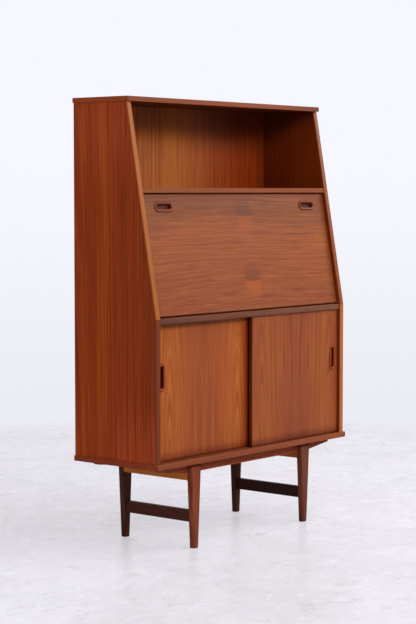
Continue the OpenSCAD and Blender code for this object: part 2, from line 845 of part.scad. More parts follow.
// Brackets on the leaf: a foot, an ear and the pin that the bar's eye turns on
module stay_brackets() {
  foot = [28, 2];               // length and thickness
  ear_t = 2.5;
  ear_w = 16;
  ear_gap = 0.5;                // between the ear and the bar
  head = [1.5, 9];              // thickness and diameter of the pin's head
  ear_x = stay_bar_x - ear_gap;
  head_x = stay_bar_x + stay_bar_t + stay_side_gap;
  for (which = [LEFT, RIGHT])
    color(brass) in_leaf() translate([0, 0, stay_leaf_z]) {
      translate([which * (ear_x - foot[0] / 2), leaf_t / 2 + foot[1] / 2, 0])
        cube([foot[0], foot[1], ear_w], center = true);
      translate([which * (ear_x - ear_t / 2), (leaf_t / 2 + stay_leaf_y) / 2, 0])
        cube([ear_t, stay_leaf_y - leaf_t / 2, ear_w], center = true);
      translate([0, stay_leaf_y, 0]) {
        rod_x(which * ear_x, which * (ear_x - ear_t), ear_w);
        rod_x(which * ear_x, which * head_x, stay_pin_d);
        rod_x(which * head_x, which * (head_x + head[0]), head[1]);
      }
    }
}

// ---------------------------------------------------------------- sliding doors

// A door with a tongue along its foot and a mortise for its pull
module sliding_door(x0, width, y, pull_x) {
  low = base_top + door_foot_gap;
  tongue_y = y + door_t / 2 - tongue_t / 2;
  color(teak)
    difference() {
      union() {
        block([x0, y, low], [x0 + width, y + door_t, deck_z + door_reach]);
        block([x0, tongue_y, base_top - low_groove + seat], [x0 + width, tongue_y + tongue_t, low + cut]);
      }
      at_door_pull(pull_x, y) pull_mortise();
    }
}

// Places a pull upright in a door's front face
module at_door_pull(x, y) {
  translate([x, y, door_pull_level]) rotate([90, 0, 0]) rotate([0, 0, 90]) children();
}

left_door_x = -inner_half + door_end_gap;
right_door_x = inner_half - door_end_gap - right_door_w;
left_pull_x = left_door_x + left_pull_inset;
right_pull_x = inner_half - door_end_gap - right_pull_inset;

module door_left() {
  sliding_door(left_door_x, left_door_w, left_door_y, left_pull_x);
}

module door_right() {
  sliding_door(right_door_x, right_door_w, right_door_y, right_pull_x);
}

module door_pull_left() {
  color(teak_dark) at_door_pull(left_pull_x, left_door_y) pull();
}

module door_pull_right() {
  color(teak_dark) at_door_pull(right_pull_x, right_door_y) pull();
}

// ---------------------------------------------------------------- leg frame

// Thin slab in the shape of a rounded rectangle
module rounded_slab(width, depth, corner, z) {
  for (x = [corner - width / 2, width / 2 - corner], y = [corner - depth / 2, depth / 2 - corner])
    translate([x, y, z]) cylinder(h = slab_t, r = corner, $fn = 32);
}

// A leg: a flat board with a square top, tapering to a rounded foot
module leg(which, end) {
  color(teak_dark)
    difference() {
      translate([which * leg_x, leg_y(end), 0])
        hull() {
          rounded_slab(leg_top, leg_t, top_corner, leg_h - slab_t);
          rounded_slab(leg_foot, leg_t, foot_corner, foot_round);
          rounded_slab(leg_foot - 2 * foot_ease, leg_t - 2 * foot_ease, foot_corner - foot_ease, 0);
        }
      // notch for the long rail, mortise and housing for the cross rail, housing for the stretcher
      block([which * leg_x - leg_top, rail_faces(end)[0], rail_bottom], [which * leg_x + leg_top, rail_faces(end)[1], leg_h + cut]);
      cross_rail_end(which, end, cut);
      stretcher_end(which, end, cut);
    }
}

// The long rail of two legs, tapering past them to blunt tips
module long_rail(end) {
  start = leg_x + leg_top / 2;
  tip = half_w - rail_tip_inset;
  color(teak_dark) translate([0, rail_faces(end)[1], leg_h])
    rotate([90, 0, 0]) linear_extrude(rail_t)
      polygon([
        [-tip, 0], [tip, 0], [tip, -rail_tip_h], [start, -rail_h],
        [-start, -rail_h], [-tip, -rail_tip_h],
      ]);
}

screw_head_d = 9;
screw_head_t = 3;
counterbore_gap = 1;    // by which a counterbore is wider than the screw's head
screw_d = 4.5;
screw_grip = 22;    // length of a frame screw inside its cross rail
screw_bite = 10;    // length of a frame screw inside the base panel
frame_screw_inset = 66.75;  // distance of the frame screws from the legs' axes

module frame_screw_places(which) {
  for (y = [leg_front_y + frame_screw_inset, leg_rear_y - frame_screw_inset])
    translate([which * cross_x, y, leg_h - screw_grip]) children();
}

// A cross rail's end under the long rail: the full section let into the leg, then the tenon
module cross_rail_end(which, end, past = 0) {
  face = leg_face(end);
  x = which * cross_x;
  for (part = [[cross_t, housing], [tenon_t, housing + tenon_len]]) {
    deep = face + end * part[1];
    back = face - end * past;
    block([x - part[0] / 2, min(deep, back), cross_bottom], [x + part[0] / 2, max(deep, back), rail_bottom]);
  }
}

// A cross rail, notched at both ends under the long rails
module cross_rail(which) {
  low = leg_face(FRONT);
  high = leg_face(REAR);
  x = which * cross_x;
  color(oak)
    difference() {
      union() {
        block([x - cross_t / 2, low, cross_bottom], [x + cross_t / 2, high, rail_bottom]);
        block([x - cross_t / 2, rail_faces(FRONT)[1], cross_bottom], [x + cross_t / 2, rail_faces(REAR)[0], leg_h]);
        for (end = [FRONT, REAR]) cross_rail_end(which, end);
      }
      // counterbored holes for the frame screws
      frame_screw_places(which) {
        translate([0, 0, -cross_h]) cylinder(h = cross_h, d = screw_head_d + counterbore_gap);
        cylinder(h = screw_grip + cut, d = screw_d + 2 * fit);
      }
    }
}

module frame_screws() {
  for (which = [LEFT, RIGHT])
    frame_screw_places(which)
      color(steel) {
        translate([0, 0, -screw_head_t]) cylinder(h = screw_head_t, d = screw_head_d);
        cylinder(h = screw_grip + screw_bite, d = screw_d);
      }
}

// A stretcher's end, let into the leg
module stretcher_end(which, end, past = 0) {
  deep = leg_face(end) + end * stretcher_housing;
  back = leg_face(end) - end * past;
  x = which * leg_x;
  block([x - stretcher_t / 2, min(deep, back), stretcher_z], [x + stretcher_t / 2, max(deep, back), stretcher_z + stretcher_h]);
}

module stretcher(which) {
  x = which * leg_x;
  color(stretcher_brown)
    union() {
      block([x - stretcher_t / 2, leg_face(FRONT), stretcher_z], [x + stretcher_t / 2, leg_face(REAR), stretcher_z + stretcher_h]);
      for (end = [FRONT, REAR]) stretcher_end(which, end);
    }
}

// ---------------------------------------------------------------- nodes

side(LEFT);  // side_left
side(RIGHT);  // side_right
side_lipping(LEFT);  // side_lipping_left
side_lipping(RIGHT);  // side_lipping_right
top_panel();
top_lipping();
base_panel();
base_lipping();
niche_shelf();
niche_shelf_lipping();
deck_panel();
deck_lipping();
writing_bed();
back_upper();
back_lower();
back_screws();
leaf_stop();
pigeonhole_floor();
pigeonhole_dividers();
pigeonhole_shelves();
cabinet_shelf();
shelf_pins();
pivot_pins();
stay_plates();
long_rail(FRONT);  // front_rail
long_rail(REAR);  // rear_rail
cross_rail(LEFT);  // cross_rail_left
cross_rail(RIGHT);  // cross_rail_right
leg(LEFT, FRONT);  // leg_front_left
leg(RIGHT, FRONT);  // leg_front_right
leg(LEFT, REAR);  // leg_rear_left
leg(RIGHT, REAR);  // leg_rear_right
stretcher(LEFT);  // stretcher_left
stretcher(RIGHT);  // stretcher_right
frame_screws();
case_dowels();
leaf_panel();
leaf_lipping();
leaf_pull(LEFT);  // leaf_pull_left
leaf_pull(RIGHT);  // leaf_pull_right
leaf_bushes();
stay_brackets();
stay_arm(LEFT);  // stay_arm_left
stay_arm(RIGHT);  // stay_arm_right
stay_block(LEFT);  // stay_block_left
stay_block(RIGHT);  // stay_block_right
door_left();
door_pull_left();
door_right();
door_pull_right();
drawer_front(LEFT);  // drawer_front_left
drawer_box(LEFT);  // drawer_box_left
drawer_knob(LEFT);  // drawer_knob_left
drawer_front(RIGHT);  // drawer_front_right
drawer_box(RIGHT);  // drawer_box_right
drawer_knob(RIGHT);  // drawer_knob_right
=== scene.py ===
"""Finishes, rounded pieces and studio of a teak fall-front desk."""

import json
import math

import bmesh
import bpy
import numpy as np
from bpy.props import FloatProperty, FloatVectorProperty, IntProperty, PointerProperty
from bpy.types import Operator, Panel, PropertyGroup
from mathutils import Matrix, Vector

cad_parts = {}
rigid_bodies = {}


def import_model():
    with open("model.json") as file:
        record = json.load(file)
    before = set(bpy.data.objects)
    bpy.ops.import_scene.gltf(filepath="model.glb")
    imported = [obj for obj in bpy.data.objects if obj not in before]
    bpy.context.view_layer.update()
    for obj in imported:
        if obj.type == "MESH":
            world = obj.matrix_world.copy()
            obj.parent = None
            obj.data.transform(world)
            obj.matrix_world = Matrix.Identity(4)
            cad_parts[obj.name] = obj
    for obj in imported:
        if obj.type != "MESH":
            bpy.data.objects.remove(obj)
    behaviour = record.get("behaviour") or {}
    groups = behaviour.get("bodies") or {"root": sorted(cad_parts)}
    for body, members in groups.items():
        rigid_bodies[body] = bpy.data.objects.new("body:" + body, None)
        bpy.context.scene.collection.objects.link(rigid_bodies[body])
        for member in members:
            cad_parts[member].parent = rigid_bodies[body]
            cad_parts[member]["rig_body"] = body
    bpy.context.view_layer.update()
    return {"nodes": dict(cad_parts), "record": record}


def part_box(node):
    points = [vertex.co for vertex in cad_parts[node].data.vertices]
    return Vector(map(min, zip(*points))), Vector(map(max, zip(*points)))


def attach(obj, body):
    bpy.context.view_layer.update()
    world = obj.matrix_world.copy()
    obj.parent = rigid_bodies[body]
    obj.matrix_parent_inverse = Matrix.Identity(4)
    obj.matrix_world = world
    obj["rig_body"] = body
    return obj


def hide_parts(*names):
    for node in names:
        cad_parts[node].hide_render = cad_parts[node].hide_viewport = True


bl_info = {
    "name": "Fall-front desk",
    "version": (1, 0, 0),
    "blender": (4, 5, 0),
    "location": "3D view > Sidebar > Desk",
    "description": "Finishes, rounded pieces and studio for a fall-front desk",
    "category": "Object",
}

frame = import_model()

# Depth in metres over which a finish changes just behind a board's face
SKIN = 0.0005


# ---------------------------------------------------------------- settings


def tone(name, description, colour):
    """A colour that the user may change, in linear red, green and blue."""
    return FloatVectorProperty(
        name=name, description=description, subtype="COLOR", size=3, min=0, max=1, default=colour
    )


def length(name, description, metres, low, high):
    """A length that the user may change, in metres."""
    return FloatProperty(
        name=name, description=description, unit="LENGTH", default=metres, min=low, max=high, precision=5
    )


def power(name, description, watts):
    """The power of a light, in watts."""
    return FloatProperty(name=name, description=description, unit="POWER", default=watts, min=0)


def share(name, description, amount):
    """A share of the whole, from 0 to 1."""
    return FloatProperty(name=name, description=description, subtype="FACTOR", default=amount, min=0, max=1)


class DeskTones(PropertyGroup):
    """Middle colours of the woods and metals."""

    side: tone("Sides", "Oiled teak of the two sides", (0.30, 0.042, 0.0085))
    case: tone("Case boards", "Teak of the top, shelf, deck and base", (0.30, 0.072, 0.024))
    back: tone("Back", "Veneer of the back boards", (0.285, 0.068, 0.0105))
    leaf: tone("Leaf", "Figured veneer of the leaf", (0.230, 0.0525, 0.0130))
    door: tone("Doors", "Crown-cut veneer of the sliding doors", (0.305, 0.0665, 0.0164))
    edge: tone("Lippings", "Solid teak of the edges", (0.25, 0.067, 0.027))
    pull: tone("Pulls", "Dark teak of the pulls and knobs", (0.19, 0.038, 0.014))
    inner: tone("Pigeonholes", "Thin teak boards inside", (0.40, 0.12, 0.035))
    leg: tone("Legs", "Dark teak of the legs and long rails", (0.195, 0.043, 0.019))
    oak: tone("Cross rails", "Yellow-brown oak under the base", (0.40, 0.115, 0.020))
    stretcher: tone("Stretchers", "Near-black brown of the stretchers", (0.062, 0.015, 0.010))
    beech: tone("Beech", "Drawer boxes and dowels", (0.60, 0.38, 0.20))
    brass: tone("Brass", "Stays, bushes, plates and pins", (0.78, 0.50, 0.20))
    steel: tone("Steel", "Screws", (0.52, 0.50, 0.47))


class DeskSizes(PropertyGroup):
    """Sizes of the rounded edges and pieces."""

    ease: length("Eased edge", "Rounding of a board's sharp edges", 0.0004, 0.0001, 0.001)
    metal_ease: length("Metal edge", "Rounding of the edges of the fittings", 0.0003, 0.0001, 0.0006)
    rim: length("Pull rim", "How far a pull's rim stands out of its board", 0.003, 0.001, 0.005)
    rim_round: length("Rim roll", "Radius of the roll on a pull's rim", 0.0022, 0.001, 0.003)
    foot_w: length("Foot", "Width of a leg at the floor", 0.022, 0.020, 0.028)
    foot_corner: length("Foot corner", "Corner radius of a leg at the floor", 0.007, 0.004, 0.009)
    top_corner: length("Top corner", "Corner radius of a leg at the top", 0.003, 0.001, 0.006)
    foot_round: length("Foot rounding", "Height of a foot's rounded lower edge", 0.0025, 0.001, 0.004)
    slot_w: length("Finger slot", "Width of the slot in a pull", 0.014, 0.010, 0.018)
    steps: IntProperty(name="Steps", description="Points round a curved piece", default=64, min=24, max=128)


class DeskStudio(PropertyGroup):
    """Lights, floor and camera."""

    key: power("Key", "Soft light from the front right", 148)
    right: power("Right", "Low light along the front from the right", 45)
    left: power("Left", "Small light from the front left", 22)
    top: power("Overhead", "Soft light from above", 60)
    fill: power("Fill", "Soft light from the left", 48)
    rear: power("Rear", "Soft light from behind", 45)
    room: share("Room", "Even light of the white room", 0.17)
    floor_radius: length("Floor", "Radius of the pale floor", 2.4, 1.5, 6.0)
    floor_tone: tone("Floor colour", "Pale painted floor", (0.80, 0.777, 0.833))
    floor_glow: share("Floor glow", "Share of the floor's white that no shadow dims", 0.55)
    white: tone("Background", "White of the room behind", (0.922, 0.930, 1.0))
    lens: FloatProperty(
        name="Lens", description="Focal length in mm", unit="CAMERA", default=101.58, min=20, max=300
    )


# ---------------------------------------------------------------- shader sums


class Value:
    """A number, colour or direction inside a finish. A sum on it adds the Math nodes that it needs."""

    def __init__(self, finish, socket):
        self.finish, self.socket = finish, socket

    def work(self, operation, *terms):
        return self.finish.node("Math", {"operation": operation}, dict(enumerate(terms)))

    def __add__(self, other):
        return self.work("ADD", self, other)

    def __radd__(self, other):
        return self.work("ADD", other, self)

    def __sub__(self, other):
        return self.work("SUBTRACT", self, other)

    def __rsub__(self, other):
        return self.work("SUBTRACT", other, self)

    def __mul__(self, other):
        return self.work("MULTIPLY", self, other)

    def __rmul__(self, other):
        return self.work("MULTIPLY", other, self)

    def __truediv__(self, other):
        return self.work("DIVIDE", self, other)

    def __rtruediv__(self, other):
        return self.work("DIVIDE", other, self)

    def __abs__(self):
        return self.work("ABSOLUTE", self)

    def fraction(self):
        return self.work("FRACT", self)

    def root(self):
        return self.work("SQRT", self)

    def least(self, other):
        return self.work("MINIMUM", self, other)

    def most(self, other):
        return self.work("MAXIMUM", self, other)

    def hump(self, middle, width):
        """1 at middle, falling smoothly to a half at width on either side: 1 / (1 + t squared)."""
        t = (self - middle) / width
        return 1 / (1 + t * t)

    def rise(self, low, high):
        """0 below low, 1 above high, a smooth step between."""
        return self.finish.node(
            "MapRange",
            {"interpolation_type": "SMOOTHSTEP"},
            {"Value": self, "From Min": low, "From Max": high, "To Min": 0.0, "To Max": 1.0},
        )


class Finish:
    """The nodes of a new material, or of the world, under construction."""

    def __init__(self, owner):
        owner.use_nodes = True
        self.owner, self.tree = owner, owner.node_tree
        self.tree.nodes.clear()

    def node(self, kind, settings=None, sockets=None, output=0):
        """Adds a node of that type with its settings, then its socket values or links. Gives an output."""
        made = self.tree.nodes.new("ShaderNode" + kind)
        for name, value in (settings or {}).items():
            if name == "stops":
                ramp = made.color_ramp
                while len(ramp.elements) < len(value):
                    ramp.elements.new(1.0)
                for stop, (place, colour) in zip(ramp.elements, value):
                    stop.position, stop.color = place, (*colour, 1.0)
            else:
                setattr(made, name, value)
        for name, value in (sockets or {}).items():
            if isinstance(value, Value):
                self.tree.links.new(value.socket, made.inputs[name])
            elif isinstance(value, tuple) and len(value) == 3 and made.inputs[name].type == "RGBA":
                made.inputs[name].default_value = (*value, 1.0)
            else:
                made.inputs[name].default_value = value
        return Value(self, made.outputs[output]) if made.outputs else None

    def place(self):
        """The object's x, y and z in metres."""
        point = self.node("TexCoord", output="Object")
        return [self.node("SeparateXYZ", None, {0: point}, axis) for axis in "XYZ"]

    def cloud(self, a, b, c, detail=2.0, rough=0.5):
        """Noise about 0, from -0.5 to 0.5, at scaled coordinates a, b and c."""
        point = self.node("CombineXYZ", None, {0: a, 1: b, 2: c})
        noise = {"Vector": point, "Scale": 1.0, "Detail": detail, "Roughness": rough}
        return self.node("TexNoise", None, noise) - 0.5

    def line_noise(self, w, detail, rough):
        """Noise about 0 along one number, as the growth rings of a board."""
        noise = {"W": w, "Scale": 1.0, "Detail": detail, "Roughness": rough}
        return self.node("TexNoise", {"noise_dimensions": "1D"}, noise) - 0.5

    def ramp(self, level, colour, *stops):
        """Versions of a colour by level. A stop is its place, then the factors that scaled takes."""
        versions = [(place, scaled(colour, *factors)) for place, *factors in stops]
        return self.node("ValToRGB", {"stops": versions}, {0: level})

    def mix(self, amount, first, second, how="MIX"):
        """Two colours mixed. Sockets 0, 6 and 7 and output 2 are the ones that a mix of colours uses."""
        return self.node("Mix", {"data_type": "RGBA", "blend_type": how}, {0: amount, 6: first, 7: second}, 2)

    def stain(self, amount, wood, tint):
        """A colour multiplied by a tint where amount is 1, and left alone where it is 0."""
        return self.mix(amount, wood, tint, "MULTIPLY")

    def blend(self, amount, first, second):
        """Two shaders mixed: the first where amount is 0, the second where it is 1."""
        return self.node("MixShader", None, {0: amount, 1: first, 2: second})

    def oiled(self, wood, gloss, sheen, growth, fibres, pores, hollow=0.0):
        """Ends a finish of oiled wood: fibres stand up and are smoother, pores and hollows are sunk."""
        return self.done(
            wood,
            gloss - fibres * 0.18 + pores * 0.12,
            fibres * 0.6 + growth * 0.25 - pores * 0.5 - hollow,
            Specular_IOR_Level=sheen,
            Specular_Tint=(1.0, 0.93, 0.86),
        )

    def done(self, colour, roughness, height, bump=0.15, depth=0.0003, **constants):
        """Ends the finish with a Principled shader, a bump of that depth and constant sockets."""
        relief = self.node("Bump", None, {"Strength": bump, "Distance": depth, "Height": height})
        sockets = {"Base Color": colour, "Roughness": roughness, "Normal": relief}
        sockets.update({name.replace("_", " "): value for name, value in constants.items()})
        return self.end(self.node("BsdfPrincipled", None, sockets))

    def end(self, shader, kind="OutputMaterial"):
        """Links the last shader to an output node, and gives the material or world."""
        self.node(kind, None, {"Surface": shader})
        return self.owner


def new_finish(name):
    """The nodes of a new material of that name."""
    return Finish(bpy.data.materials.new(name))


def scaled(colour, factor, red=1.0, blue=1.0):
    """A lighter or darker version of a linear colour, with its red and blue pushed by their own factors."""
    return tuple(min(1.0, c * factor * push) for c, push in zip(colour, (red, 1.0, blue)))


# ---------------------------------------------------------------- woods


def timber(
    name,
    colour,
    grain,
    seed,
    contrast=1.0,
    ring=0.006,
    wander=0.012,
    arches=(),
    bands=(),
    warm=0.5,
    sheen=0.12,
    shade=None,
    mirror=None,
):
    """Oiled wood.

    grain is three letters: the axes along the grain, across the face and through the board.
    The distance across wanders slowly along the board. The growth lines are one-dimensional noise of that
    distance, or of the distance to a cone's axis where arches gives (middle, start, slope, depth), so that
    they close into crown arches. Streaks and fibres are noise stretched along the grain, and bands are golden
    or (with a negative amount) purplish stripes as (middle, half width, amount). shade is a function that may
    change the finished colour from the finish, the colour and the three coordinates. mirror is where two
    leaves of veneer meet: the figure on one side of it is the other's mirror image.
    """
    f = new_finish(name)
    place = dict(zip("xyz", f.place()))
    along, across, through = (place[axis] for axis in grain)
    if mirror is not None:
        across = abs(across - mirror)
    slow = f.cloud(along * 1.7 + seed, across * 3.1, through * 3.1, 1.0)
    drift = across + slow * wander + through * 0.35
    reach = drift
    for middle, start, slope, depth in arches:
        lift = (along - start) * slope + depth
        beside = drift - middle
        reach = (beside * beside + lift * lift).root()
    growth = f.line_noise(reach / ring + seed * 3.7, 4.0, 0.62)
    streaks = f.cloud(along * 2.6 + seed * 1.3, reach * 120, through * 120, 3.0, 0.6)
    fibres = f.cloud(along * 9, drift * 330 + seed, through * 330, 2.0, 0.6)
    pores = f.cloud(along * 45, drift * 1500, through * 1500 + seed, 1.0).rise(0.12, 0.26)
    broad = f.cloud(along * 0.9 + seed * 2.1, drift * 8.5, through * 8.5 + seed, 1.0)
    level = 0.5 + (growth * 0.62 + streaks * 0.6 + fibres * 0.5) * contrast
    golden = 0.5 + broad * (2.0 * warm)
    for middle, width, amount in bands:
        golden = golden + across.hump(middle, width) * amount
    base = f.ramp(
        level,
        colour,
        (0.12, 0.42, 1.30, 0.75),
        (0.42, 0.87, 1.03, 0.97),
        (0.60, 1.09, 0.98, 1.02),
        (0.88, 1.72, 0.79, 1.15),
    )
    gold = f.ramp(
        level,
        colour,
        (0.12, 0.66, 1.12, 0.55),
        (0.42, 1.24, 0.92, 0.68),
        (0.60, 1.58, 0.83, 0.74),
        (0.88, 2.45, 0.64, 0.88),
    )
    wood = f.mix(golden.rise(0.35, 1.15), base, gold)
    wood = f.stain(1 - golden.rise(-0.15, 0.50), wood, (0.78, 0.86, 1.0))
    wood = f.mix(pores * 0.35, wood, scaled(colour, 0.38))
    if shade:
        wood = shade(f, wood, place["x"], place["y"], place["z"])
    return f.oiled(wood, 0.46, sheen, growth, fibres, pores)


def seam(along, across, middle, half):
    """The dark seam round a pull let into a board: 1 just outside its outline and 0 from about 2 mm off.

    The outline is a racetrack: the points at distance b from a line of length 2 (a - b), with half = (a, b).
    """
    gap, fade = 0.0006, 0.0018
    reach = (abs(along - middle[0]) - (half[0] - half[1])).most(0.0)
    beside = across - middle[1]
    distance = (reach * reach + beside * beside).root() - half[1]
    return 1 - abs(distance - gap).rise(0.0, fade)


def height_over(face, tilt, y, z):
    """Height over a plane that faces the front and leans back by tilt: z sin(tilt) - y cos(tilt) - face."""
    return z * math.sin(tilt) - y * math.cos(tilt) - face


def crown_leaf(name, colour, tilt, face):
    """Figured veneer of the leaf, grain lengthwise.

    Height up the leaf is bent towards the crown column at the middle by a wave that dies away with the
    distance from it, and the growth lines are noise of that bent height. Down the column runs a saw wave of
    the height: each step is orange just under its line and fades to a dark V just above the next one. The
    column, like the seams round the pulls, is on the outer face alone.
    """
    f = new_finish(name)
    x, y, z = f.place()
    seed = 4.3
    column_x, column_half, first_line, step_h = 0.020, 0.044, 0.958, 0.1935
    side = x - column_x
    wide = side.hump(0.0, 0.22)
    slow = f.cloud(x * 2.0, z * 3.5, y * 2.0 + seed, 1.5)
    wave = f.cloud(x * 5.0 + seed, z * 9.0, y * 3.0, 1.0)
    bent = z + slow * 0.028 + wave * (0.002 + wide * 0.011) - wide * 0.012
    growth = f.line_noise(bent / 0.007 + seed, 4.0, 0.68)
    streaks = f.cloud(x * 6.0, bent * 230, y * 20 + seed, 3.0, 0.65)
    fibres = f.cloud(x * 14, bent * 430 + seed, y * 50, 2.0, 0.6)
    pores = f.cloud(x * 55, bent * 1500, y * 300 + seed, 1.0).rise(0.12, 0.26)
    flecks = f.cloud(x * 9 + seed, bent * 110, y * 30, 2.0, 0.5).rise(0.17, 0.27)
    broad = f.cloud(x * 1.4, bent * 11, y * 5 + seed, 2.0)
    step = ((first_line - z + abs(side) * 0.04) / step_h + 2.0).fraction()
    frayed = (side + streaks * 0.02 + wave * 0.02) / (column_half - step.least(1 - step) * 0.05)
    outer = height_over(face, tilt, y, z).rise(-0.004, -0.002)
    column = (1 / (1 + frayed * frayed)).rise(0.42, 0.72) * outer
    orange = (0.36 - step).rise(0.0, 0.30) * column
    dusk = step.rise(0.62, 0.98) * column
    level = 0.5 + growth * 0.58 + streaks * 0.75 + fibres * 0.50 + orange * 0.06 - dusk * 0.10
    plain = f.ramp(
        level,
        colour,
        (0.18, 0.36, 1.33, 1.1),
        (0.42, 0.81, 1.06, 1.05),
        (0.58, 1.15, 0.93, 1.05),
        (0.82, 1.90, 0.73, 1.05),
    )
    gold = f.ramp(
        level,
        colour,
        (0.18, 0.46, 1.26, 0.60),
        (0.44, 1.05, 1.05, 0.55),
        (0.58, 1.32, 0.93, 0.55),
        (0.82, 2.05, 0.72, 0.73),
    )
    wood = f.mix((0.5 + broad * 2.4 + streaks * 0.9).rise(0.35, 0.95), plain, gold)
    wood = f.mix(orange * 0.75, wood, scaled(colour, 1.22, 1.12, 0.68))
    wood = f.mix(dusk * 0.62, wood, scaled(colour, 0.72, 0.92, 1.6))
    wood = f.mix(flecks * 0.6, wood, scaled(colour, 1.15, 1.40, 0.5))
    wood = f.mix(pores * 0.30, wood, scaled(colour, 0.40))
    # Painted light and shade: a lighter band across the leaf, painted shade along its top, and a painted
    # shadow at its right end, where the side's edge stands in front of it.
    wood = f.stain(z.hump(0.83, 0.09), wood, (1.06, 1.07, 0.97))
    wood = f.stain(z.rise(0.905, 0.975), wood, (0.73, 0.75, 0.80))
    wood = f.stain(x.rise(0.385, 0.44) * outer, wood, (0.80, 0.80, 0.85))
    up = z / math.cos(tilt)
    for node in both("leaf_pull"):
        middle, half = middle_and_half(node)
        centre = (middle[0], middle[2] / math.cos(tilt))
        around = seam(x, up, centre, (half[0], half[2] / math.cos(tilt)))
        wood = f.stain(around * outer * 0.8, wood, (0.35, 0.25, 0.25))
    chip_x, chip_z, chip_half_w, chip_half_h = 0.274, 0.6795, 0.005, 0.0035
    off, over = (x - chip_x) / chip_half_w, (z - chip_z) / chip_half_h
    chip = 1 - (off * off + over * over).rise(0.5, 1.3)
    wood = f.mix(chip * 0.9, wood, scaled(colour, 0.12))
    return f.oiled(wood, 0.47, 0.12, growth, fibres, pores, chip * 2.0)


def brushed(name, colour, seed, rough=0.34):
    """Metal with a fine rolled grain and slight tarnish in its colour and roughness."""
    f = new_finish(name)
    x, y, z = f.place()
    tarnish = f.cloud(x * 60 + seed, y * 60, z * 60, 3.0, 0.6)
    lines = f.cloud(x * 2500, y * 300 + seed, z * 300, 2.0)
    metal = f.mix((0.5 + tarnish * 1.6).rise(0.1, 1.0), scaled(colour, 0.62, 1.0, 0.85), scaled(colour, 1.1))
    return f.done(metal, rough + tarnish * 0.25 + lines * 0.08, lines, 0.08, 0.0001, Metallic=1.0)


# ---------------------------------------------------------------- pieces


def colour_of(name):
    """One of the user's tones."""
    return tuple(getattr(bpy.context.scene.desk_tones, name))


def sizes():
    """The user's sizes."""
    return bpy.context.scene.desk_sizes


def both(stem):
    """The names of a left and a right node."""
    return stem + "_left", stem + "_right"


def middle_and_half(node):
    """The middle of a CAD node's box and half its size, as arrays."""
    low, high = (np.array(corner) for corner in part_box(node))
    return (low + high) / 2, (high - low) / 2


def points_of(node):
    """The points of a CAD node's mesh, as an array (count, 3)."""
    vertices = frame["nodes"][node].data.vertices
    points = np.empty(len(vertices) * 3, np.float32)
    vertices.foreach_get("co", points)
    return points.reshape(-1, 3).astype(float)


def put(name, data):
    """A new object for a mesh, light or camera, in the scene."""
    made = bpy.data.objects.new(name, data)
    bpy.context.collection.objects.link(made)
    return made


def refinish(material, *nodes):
    """Gives CAD nodes a finish in all their material slots."""
    for name in nodes:
        mesh = frame["nodes"][name].data
        if not mesh.materials:
            mesh.materials.append(material)
        for slot in range(len(mesh.materials)):
            mesh.materials[slot] = material


def slot_of(node):
    """The record's material slot of a CAD node."""
    for part in frame["record"]["subparts"]:
        if part["node"] == node:
            return part["material_slot"]
    raise RuntimeError(f"{node} has no material slot in the record")


def stand_for(piece, material, node):
    """Puts a finished piece in place of a CAD node: gives it the finish and the node's body, looks up the
    node's material slot in the record, and hides the node.
    """
    piece.data.materials.clear()
    piece.data.materials.append(material)
    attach(piece, frame["nodes"][node]["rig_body"])
    slot_of(node)
    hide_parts(node)


def eased(material, *nodes, ease=None):
    """Copies of boards with their triangles joined into whole faces and their edges rounded."""
    flat, sharp = math.radians(0.4), math.radians(28)
    for node in nodes:
        work = bmesh.new()
        work.from_mesh(frame["nodes"][node].data)
        bmesh.ops.remove_doubles(work, verts=work.verts, dist=1e-6)
        bmesh.ops.dissolve_limit(
            work, angle_limit=flat, verts=work.verts, edges=work.edges, delimit={"NORMAL"}
        )
        mesh = bpy.data.meshes.new(node + "_eased")
        work.to_mesh(mesh)
        work.free()
        piece = put(mesh.name, mesh)
        bevel = piece.modifiers.new("ease", "BEVEL")
        bevel.width = ease or sizes().ease
        bevel.segments = 2
        bevel.limit_method = "ANGLE"
        bevel.angle_limit = sharp
        bevel.use_clamp_overlap = False
        stand_for(piece, material, node)


def surface(name, grid):
    """A smooth mesh from a grid of points, an array (rows, columns, 3), whose last column joins the first.

    Corner (r, c) is vertex r * columns + c, and each cell is one face.
    """
    rows, columns = grid.shape[:2]
    r, c = np.meshgrid(np.arange(rows - 1), np.arange(columns), indexing="ij")
    here, beside = r * columns + c, r * columns + (c + 1) % columns
    faces = np.stack([here, beside, beside + columns, here + columns], -1)
    mesh = bpy.data.meshes.new(name)
    mesh.from_pydata(grid.reshape(-1, 3), [], faces.reshape(-1, 4))
    work = bmesh.new()
    work.from_mesh(mesh)
    bmesh.ops.remove_doubles(work, verts=work.verts, dist=2e-6)
    bmesh.ops.recalc_face_normals(work, faces=work.faces)
    work.to_mesh(mesh)
    work.free()
    mesh.polygons.foreach_set("use_smooth", np.ones(len(mesh.polygons), bool))
    return put(name, mesh)


def turned(profile, origin, axis, around):
    """A profile of (radius, height) turned about a level axis of length 1, as a grid of points.

    Point = origin + height * axis + radius * (cos t * u + sin t * v), with u and v square to the axis.
    """
    profile, axis = np.asarray(profile, float), np.asarray(axis, float)
    u = np.cross(axis, [0.0, 0.0, 1.0])
    v = np.cross(axis, u)
    t = np.linspace(0, 2 * np.pi, around, endpoint=False)
    ring = np.cos(t)[:, None] * u + np.sin(t)[:, None] * v
    return origin + profile[:, None, 1:2] * axis + profile[:, None, 0:1] * ring


